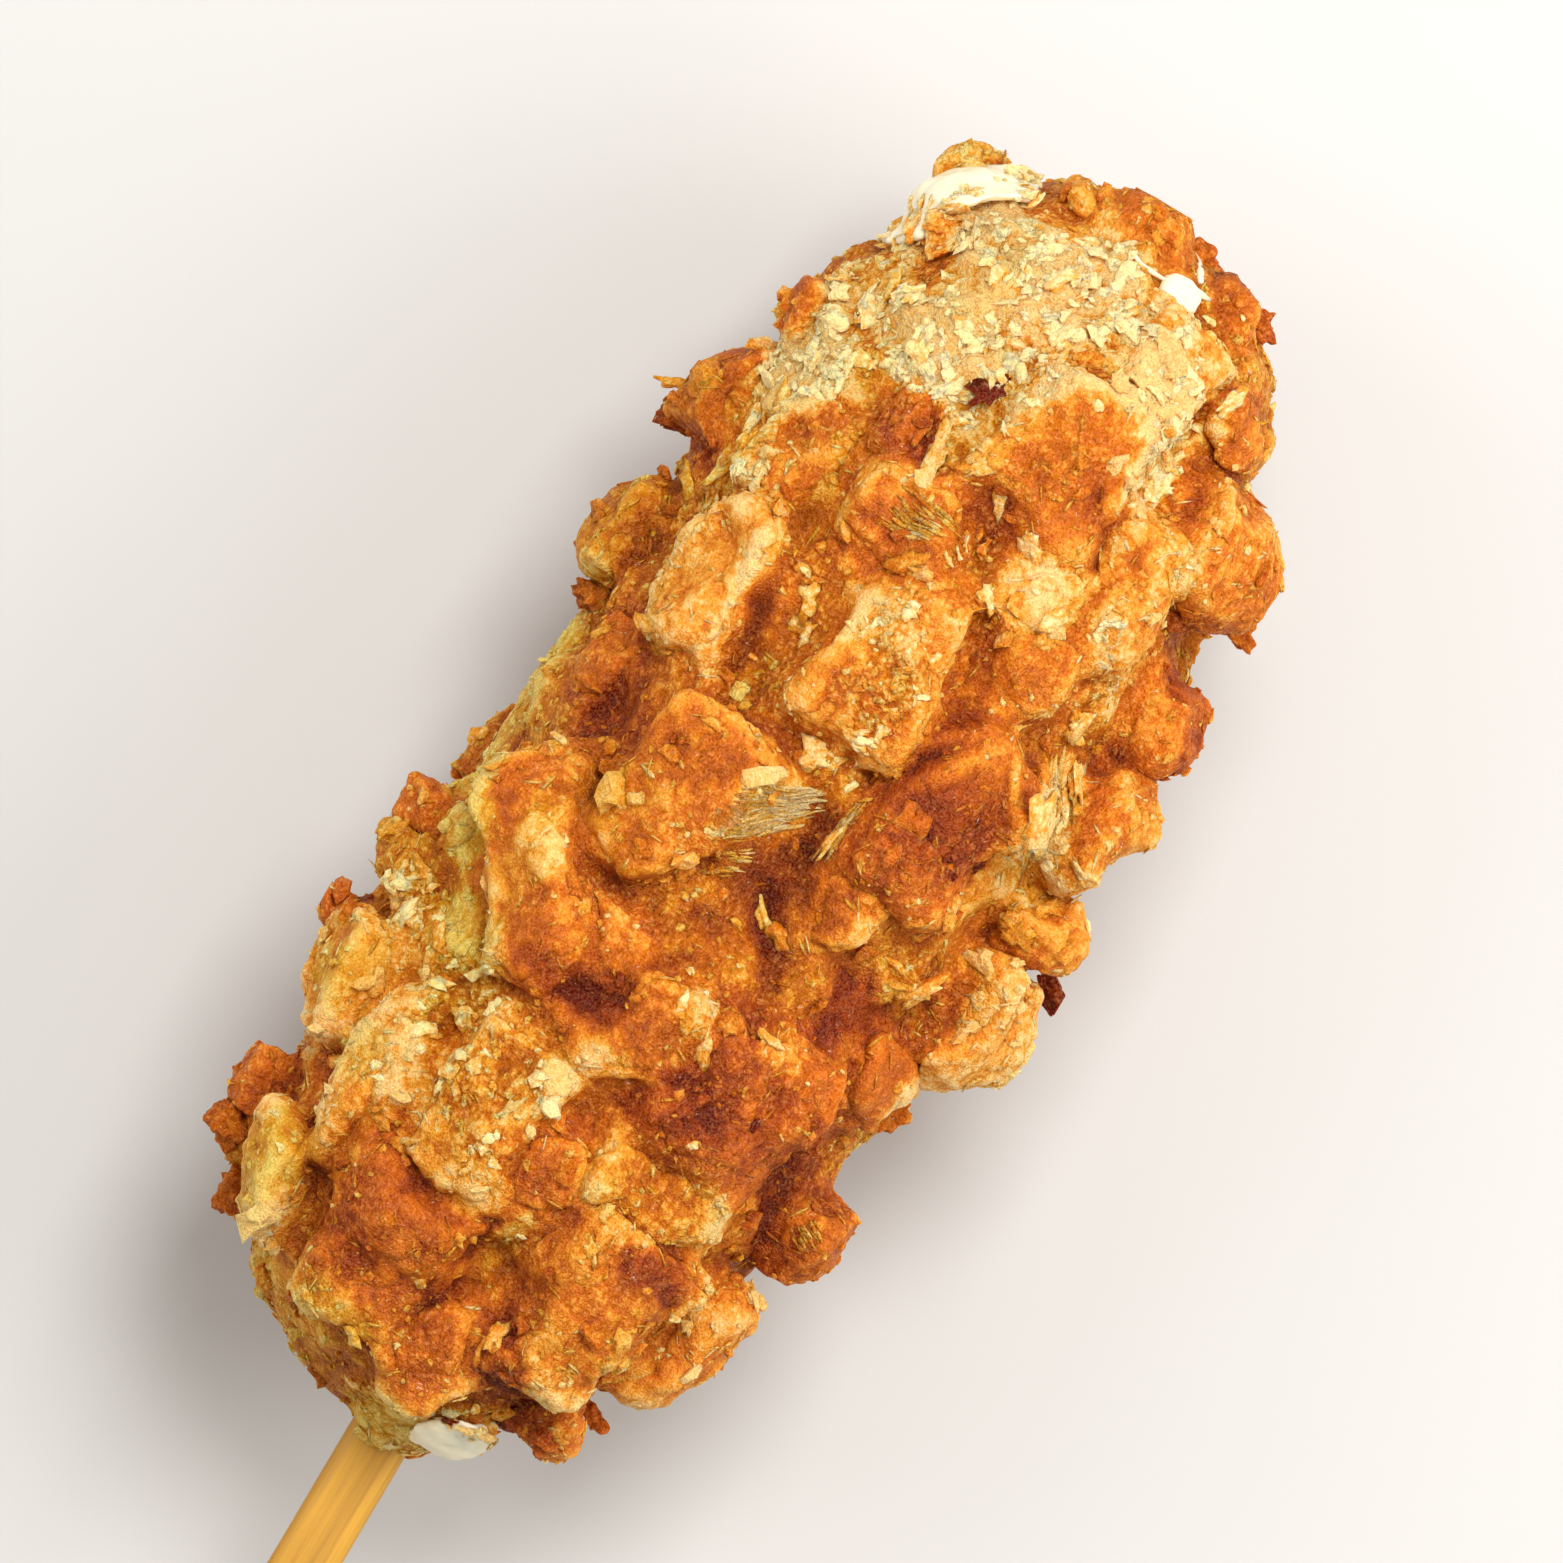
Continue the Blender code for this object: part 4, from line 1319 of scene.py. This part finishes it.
def seen_from_above(trees, spots):
    """Where lines straight down through x, y spots in mm first meet the trees, with the normals there."""
    places, normals = [], []
    for x, y in spots:
        hits = [tree.ray_cast(Vector((x * MM, y * MM, ABOVE_ALL)), Vector((0, 0, -1))) for tree in trees]
        hits = [hit[:2] for hit in hits if hit[0]] or [nearest_side(trees, (x, y, AXIS_HEIGHT))]
        place, normal = max(hits, key=lambda hit: hit[0].z)
        places.append(np.array(place) / MM)
        normals.append(np.array(normal))
    return np.array(places), np.array(normals)


def crumb_shapes(count, roundness, seed, rough=1.0):
    """Lumpy base shapes of about 1 across, all with the same faces."""
    ball = bmesh.new()
    bmesh.ops.create_icosphere(ball, subdivisions=roundness, radius=0.5)
    points = np.array([v.co for v in ball.verts])
    faces = np.array([[v.index for v in face.verts] for face in ball.faces])
    ball.free()
    shapes = []
    for at in range(count):
        swell = 0.42 * waves(points + at, 0.45, seed + at) + 0.34 * waves(points - at, 0.22, seed + at)
        shapes.append(points * np.clip(1 + rough * swell, 0.25, 1.9)[:, None])
    return np.array(shapes), faces


def strew(name, base, places, normals, sizes, tones, tilt, raised, torn_by, smooth, rng, lengthwise=None):
    """One mesh of crumbs, each laid on the surface at its place, turned at random or lengthwise."""
    shapes, faces = base
    count = len(places)
    aside = rng.normal(size=(count, 3)) if lengthwise is None else lengthwise.astype(float)
    aside -= normals * np.einsum("ij,ij->i", aside, normals)[:, None]
    aside /= np.linalg.norm(aside, axis=1)[:, None]
    lean = np.radians(rng.normal(0, tilt, count))[:, None]
    up = normals * np.cos(lean) + np.cross(normals, aside) * np.sin(lean)
    across = np.cross(up, aside)
    turn = np.stack([aside, across, up], axis=2)
    shape = shapes[rng.integers(len(shapes), size=count)]
    body = np.einsum("nij,nkj->nki", turn, shape * sizes[:, None, :])
    centres = np.repeat(places + normals * (sizes[:, 2:3] * raised), shapes.shape[1], axis=0)
    body = body.reshape(-1, 3)
    tear = waves(centres + body, 1.1, 72) + 0.6 * waves(centres + body, 0.5, 73)
    points = kept_in_box(centres + body * np.clip(1 + torn_by * tear, 0.35, 1.9)[:, None])
    index = (faces[None] + (np.arange(count) * shapes.shape[1])[:, None, None]).reshape(-1, 3)
    mesh = bpy.data.meshes.new(name)
    mesh.from_pydata((points * MM).tolist(), [], index.tolist())
    mesh.polygons.foreach_set("use_smooth", [smooth] * len(mesh.polygons))
    mesh.update()
    colour = np.repeat(tones, shapes.shape[1], axis=0)
    # Random spots, and painted light and shade: each crumb paler on its upper side and more fried, so darker,
    # towards its underside
    colour[:, 0] += 0.06 * waves(points, 0.9, 71) - 0.22 * shape[:, :, 2].ravel()
    write_tone(mesh, colour)
    piece = linked(name, mesh)
    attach(piece, "root")
    return piece


def strand_paths(trees, ends, sag):
    """Paths in mm between pairs of x, y spots, lying on the surface and bridging its hollows."""
    share = np.linspace(0, 1, STRAND_STEPS)[None, :, None]
    flat = ends[:, None, :2] + share * (ends[:, None, 2:4] - ends[:, None, :2])
    bend = waves(np.pad(flat.reshape(-1, 2), ((0, 0), (0, 1))), 2.5, 61)
    flat[:, :, 0] += 0.5 * bend.reshape(flat.shape[:2])
    places, _ = seen_from_above(trees, flat.reshape(-1, 2))
    places = places.reshape(len(ends), STRAND_STEPS, 3)
    height = places[:, :, 2]
    bridge = height[:, :1] + share[:, :, 0] * (height[:, -1:] - height[:, :1])
    lift = 0.04 + 0.16 * waves(np.pad(ends[:, :2], ((0, 0), (0, 1))), 0.4, 63)
    places[:, :, 2] = np.maximum(height - 0.1, sag * height + (1 - sag) * bridge) + lift[:, None]
    return places


def fan_strands(rng):
    """The ends, widths and tones of the fans' strands, which lie in tufts."""
    ends, widths, tones = [], [], []
    for *corners, count, frying in FANS:
        first_root, last_root, first_tip, last_tip = np.array(corners).reshape(4, 2)
        tufts = rng.uniform((0, 0.6), (1, 1.1), (3 + count // 12, 2))
        for tuft, length in rng.choice(tufts, count):
            share = tuft + rng.normal(0, 0.04)
            root = first_root + share * (last_root - first_root)
            reach = first_tip + (share + rng.normal(0, 0.14)) * (last_tip - first_tip) - root
            reach *= length
            start = rng.uniform(-0.15, 0.65)
            stop = start + rng.uniform(0.20, 0.5)
            ends.append([*(root + start * reach), *(root + stop * reach)])
            widths.append(rng.uniform(0.22, 0.6))
            tones.append((frying + 0.30 * (0.45 - start) + rng.normal(0, 0.06), 0.05, 0.3))
    return np.array(ends), np.array(widths), np.array(tones)


def strands(name, paths, widths, tones):
    """One mesh of tapered strands, each along its own path in mm."""
    ahead = np.gradient(paths, axis=1)
    ahead /= np.linalg.norm(ahead, axis=2)[:, :, None]
    aside = np.cross(ahead, (0.0, 0.0, 1.0))
    aside /= np.maximum(np.linalg.norm(aside, axis=2), 0.01)[:, :, None]
    above = np.cross(aside, ahead)
    swell = 0.25 + 0.75 * np.sin(np.linspace(0.1, math.pi - 0.1, STRAND_STEPS)) ** 0.6
    swell = swell * (1 + 0.25 * waves(paths.reshape(-1, 3), 0.9, 62).reshape(paths.shape[:2]))
    half = 0.5 * widths[:, None] * swell
    angle = np.arange(STRAND_SIDES) * 2 * math.pi / STRAND_SIDES
    ring = aside[:, :, None] * np.cos(angle)[:, None] + 0.75 * above[:, :, None] * np.sin(angle)[:, None]
    points = kept_in_box((paths[:, :, None] + half[:, :, None, None] * ring).reshape(-1, 3))
    faces = []
    for start in range(0, len(points), STRAND_STEPS * STRAND_SIDES):
        rings = start + np.arange(STRAND_STEPS * STRAND_SIDES).reshape(STRAND_STEPS, STRAND_SIDES)
        faces.append(rings[0].tolist())
        faces.append(rings[-1][::-1].tolist())
        for low, high in zip(rings, rings[1:]):
            faces.extend(np.stack([low, high, np.roll(high, -1), np.roll(low, -1)], 1).tolist())
    mesh = bpy.data.meshes.new(name)
    mesh.from_pydata((points * MM).tolist(), [], faces)
    mesh.polygons.foreach_set("use_smooth", [True] * len(mesh.polygons))
    mesh.update()
    write_tone(mesh, np.repeat(tones, STRAND_STEPS * STRAND_SIDES, axis=0))
    piece = linked(name, mesh)
    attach(piece, "root")
    return piece


class SKEWER_OT_crumbs(Operator):
    """Strews the bread crumbs, potato shreds and burnt flecks over the crust."""

    bl_idname = "skewer.crumbs"
    bl_label = "Crumbs"

    def execute(self, context):
        settings = context.scene.skewer_settings
        rng = np.random.default_rng(12)
        crust = [bpy.data.objects[CRUST]]
        dice = [bpy.data.objects[name + "_fried"] for name in DICE]
        cheese = [bpy.data.objects[name + "_melted"] for name in CHEESES]
        trees = tree_of(crust), tree_of(dice), tree_of(cheese)
        places, normals, tones = surface_spots(crust + dice + cheese, SPOT_POOL, rng)
        # Bare cheese has a crumb value of 0, and stays free of crumbs
        shown = np.array(
            [all(open_air(tree, p, n) for tree in trees) and p[2] > 1.0 for p, n in zip(places, normals)]
        )
        shown &= tones[:, 2] > 0.02
        places, normals, tones = places[shown], normals[shown], tones[shown]
        material_named("dry_panko_crumb", fried_crust_material, settings)
        crust_finish = bpy.data.materials["deep_fried_batter"]

        clumps = 0.5 + 0.5 * waves(places, 7.0, 81)
        chances = {
            "panko_flakes": ease(tones[:, 2], 0.35, 1.0) ** 1.5 * (0.35 + clumps) + 0.01,
            "fine_crumbs": 0.15 + 0.85 * tones[:, 2],
            "toasted_crumbs": 0.25 + clumps,
            "potato_shreds": 0.3 + clumps,
            "torn_slivers": 0.4 + clumps,
        }
        for kind in CRUMB_KINDS:
            chance = np.clip(chances[kind.name], 1e-6, None)
            count = min(getattr(settings, kind.setting), len(places))
            at = rng.choice(len(places), count, replace=False, p=chance / chance.sum())
            # Many small and few large
            length = kind.length[0] + (kind.length[1] - kind.length[0]) * rng.beta(1.3, 3.5, count)
            length *= kind.growth[0] + kind.growth[1] * ease(tones[at, 2], 0.3, 0.85)
            scale = np.ones(count) if kind.thread else length
            width = scale * rng.uniform(*kind.width, count)
            thickness = scale * rng.uniform(*kind.thickness, count)
            share, added, varied = kind.frying
            frying = share * tones[at, 0] + rng.normal(added, varied, count)
            crumb = kind.crumb[0] + kind.crumb[1] * tones[at, 2]
            piece = strew(
                kind.name,
                crumb_shapes(*kind.shapes),
                places[at],
                normals[at],
                np.stack([length, width, thickness], 1),
                np.stack([frying, kind.olive * tones[at, 1], crumb], 1),
                kind.tilt,
                kind.raised,
                kind.torn_by,
                kind.thread,
                rng,
            )
            piece.data.materials.append(bpy.data.materials[kind.finish])

        table = np.array(FLAKES, dtype=float)
        places, normals = seen_from_above(trees, table[:, :2])
        turn = np.radians(table[:, 5])
        lengthwise = np.stack([np.cos(turn), np.sin(turn), np.zeros(len(turn))], 1)
        tone = np.stack([0.14 + table[:, 6], table[:, 7], np.full(len(table), 0.3)], 1)
        base = crumb_shapes(16, 3, 191)
        piece = strew(
            "single_flakes", base, places, normals, table[:, 2:5], tone, 8, 0.1, 0.4, True, rng, lengthwise
        )
        piece.data.materials.append(bpy.data.materials["dry_panko_crumb"])

        table = np.array(SPURS)
        outward = np.pad(table[:, 2:4] - table[:, :2], ((0, 0), (0, 1)))
        sizes = np.column_stack([np.linalg.norm(outward, axis=1), table[:, 5], table[:, 6]])
        upward = np.tile((0.0, 0.0, 1.0), (len(table), 1))
        places = np.column_stack([(table[:, :2] + table[:, 2:4]) / 2, table[:, 4]])
        tone = np.column_stack([table[:, 7], table[:, 8], np.full(len(table), 0.3)])
        base = crumb_shapes(10, 4, 231, 0.5)
        piece = strew("outline_spurs", base, places, upward, sizes, tone, 4, 0.0, 0.3, True, rng, outward)
        piece.data.materials.append(crust_finish)

        ends, widths, tone = fan_strands(rng)
        piece = strands("potato_fibres", strand_paths(trees, ends, 1.0), widths, tone)
        piece.data.materials.append(crust_finish)

        table = np.array(STRINGS)
        paths = strand_paths(trees, table[:, :4], 0.0)
        piece = strands("cheese_strings", paths, table[:, 4], np.zeros((len(table), 3)))
        piece.data.materials.append(bpy.data.materials["melted_mozzarella"])
        return {"FINISHED"}


class SKEWER_OT_stick(Operator):
    """Makes the flat birch stick with its eased edges and lengthwise grain."""

    bl_idname = "skewer.stick"
    bl_label = "Wooden stick"

    def execute(self, context):
        settings = context.scene.skewer_settings
        piece, mesh, points = soft_skin(solid_shape("stick"), "flat_birch_stick", STICK_SPACING, 3)
        normals = moved_to(mesh, points)
        fibre = points * (0.04, 1.0, 1.0)
        raise_relief(mesh, points, normals, 0.05 * waves(fibre, 0.7, 91) + 0.07 * waves(fibre, 1.9, 92))
        mesh.materials.append(material_named("flat_sawn_birch", birch_material, settings))
        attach(piece, "root")
        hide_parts("stick")
        return {"FINISHED"}


class SKEWER_OT_cheese(Operator):
    """Makes the melted cheese at the tip, the drop, and the patch by the stick; the drop's strings are laid
    with the crumbs.
    """

    bl_idname = "skewer.cheese"
    bl_label = "Melted cheese"

    def execute(self, context):
        settings = context.scene.skewer_settings
        finish = material_named("melted_mozzarella", cheese_material, settings)
        for name in CHEESES:
            piece, mesh, points = soft_skin(solid_shape(name), name + "_melted", CHEESE_SPACING, 8)
            points = notched(bent(points))
            normals = moved_to(mesh, points)
            height = 0.22 * waves(points, 2.2, 95) + 0.10 * waves(points, 0.9, 96) + 0.10
            raise_relief(mesh, points, normals, height)
            # Crumb lies over the inner side of the two larger patches, and the rest stays bare
            inner = -spread_about(points, 65.0, 14.6, -40)[1]
            at_tip = ease(inner + 0.9 * waves(points, 2.4, 97), -0.6, 0.8)
            at_foot = ease(points[:, 0] + 0.5 * waves(points, 1.6, 98), -73.0, -71.8)
            cover = np.where(points[:, 0] < 0, at_foot, at_tip) * (name != "cheese_drip")
            write_tone(mesh, np.stack([0.15 * cover, 0.1 * cover, cover], 1))
            mesh.materials.append(finish)
            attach(piece, "root")
            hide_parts(name)
        return {"FINISHED"}


class SKEWER_OT_stage(Operator):
    """Makes the plain floor, the soft studio light and the camera that looks straight down."""

    bl_idname = "skewer.stage"
    bl_label = "Stage"

    def execute(self, context):
        scene = context.scene
        settings = scene.skewer_settings
        scene.view_settings.view_transform = "Standard"
        floor_mesh = bpy.data.meshes.new("studio_floor")
        half = FLOOR_HALF_SIZE
        floor_mesh.from_pydata(
            [(-half, -half, 0), (half, -half, 0), (half, half, 0), (-half, half, 0)], [], [(0, 1, 2, 3)]
        )
        floor = linked("studio_floor", floor_mesh)
        material, tree = new_material("matt_backdrop_paper")
        shader = add_node(
            tree,
            "ShaderNodeBsdfPrincipled",
            values={"Base Color": tuple(settings.floor_colour), "Roughness": 0.9},
        )
        add_node(tree, "ShaderNodeOutputMaterial", links={"Surface": shader.outputs["BSDF"]})
        floor_mesh.materials.append(material)

        world = bpy.data.worlds.new("studio_air")
        scene.world = world
        world.use_nodes = True
        background = world.node_tree.nodes["Background"]
        background.inputs["Color"].default_value = (1.0, 0.98, 0.95, 1.0)
        background.inputs["Strength"].default_value = 0.44

        right, up, middle = Vector(FRAME_RIGHT), Vector(FRAME_UP), Vector(FRAME_MIDDLE)
        # Name, place from the middle of the frame and size in metres, and power in watts
        lights = (
            ("key_softbox", up * 0.30 + right * 0.20 + Vector((0, 0, 0.80)), 0.34, 6.3),
            ("right_softbox", right * 0.60 - up * 0.10 + Vector((0, 0, 0.45)), 0.5, 3.4),
            ("left_softbox", right * -0.60 + up * 0.20 + Vector((0, 0, 0.50)), 0.5, 1.8),
        )
        for name, offset, size, power in lights:
            light = bpy.data.lights.new(name, "AREA")
            light.shape = "SQUARE"
            light.size = size
            light.energy = power
            lamp = linked(name, light)
            lamp.location = middle + offset
            lamp.rotation_euler = (-offset).to_track_quat("-Z", "Y").to_euler()

        camera = bpy.data.cameras.new("camera")
        camera.sensor_width = SENSOR_WIDTH
        camera.lens = SENSOR_WIDTH * CAMERA_DISTANCE / FRAME_WIDTH
        camera.clip_start, camera.clip_end = 0.05, 20.0
        eye = linked("camera", camera)
        turn = Matrix((right, up, (0, 0, 1))).transposed().to_4x4()
        eye.matrix_world = Matrix.Translation(middle + Vector((0, 0, CAMERA_DISTANCE))) @ turn
        scene.camera = eye
        return {"FINISHED"}


STEPS = (
    SKEWER_OT_batter,
    SKEWER_OT_dice,
    SKEWER_OT_frying_and_painted_shade,
    SKEWER_OT_cheese,
    SKEWER_OT_crumbs,
    SKEWER_OT_stick,
    SKEWER_OT_stage,
)


class SKEWER_PT_panel(Panel):
    """Shows the skewer's settings and steps in the 3D view's sidebar."""

    bl_idname = "SKEWER_PT_panel"
    bl_label = "Potato-crusted skewer"
    bl_space_type = "VIEW_3D"
    bl_region_type = "UI"
    bl_category = "Skewer"

    def draw(self, context):
        for name in SkewerSettings.__annotations__:
            self.layout.prop(context.scene.skewer_settings, name)
        for step in STEPS:
            self.layout.operator(step.bl_idname)


CLASSES = (SkewerSettings, *STEPS, SKEWER_PT_panel)


def register():
    for made in CLASSES:
        bpy.utils.register_class(made)
    bpy.types.Scene.skewer_settings = PointerProperty(type=SkewerSettings)


def unregister():
    del bpy.types.Scene.skewer_settings
    for made in reversed(CLASSES):
        bpy.utils.unregister_class(made)


def main():
    register()
    bpy.ops.skewer.batter()
    bpy.ops.skewer.dice()
    bpy.ops.skewer.frying()
    bpy.ops.skewer.cheese()
    bpy.ops.skewer.crumbs()
    bpy.ops.skewer.stick()
    bpy.ops.skewer.stage()


if __name__ == "__main__":
    main()
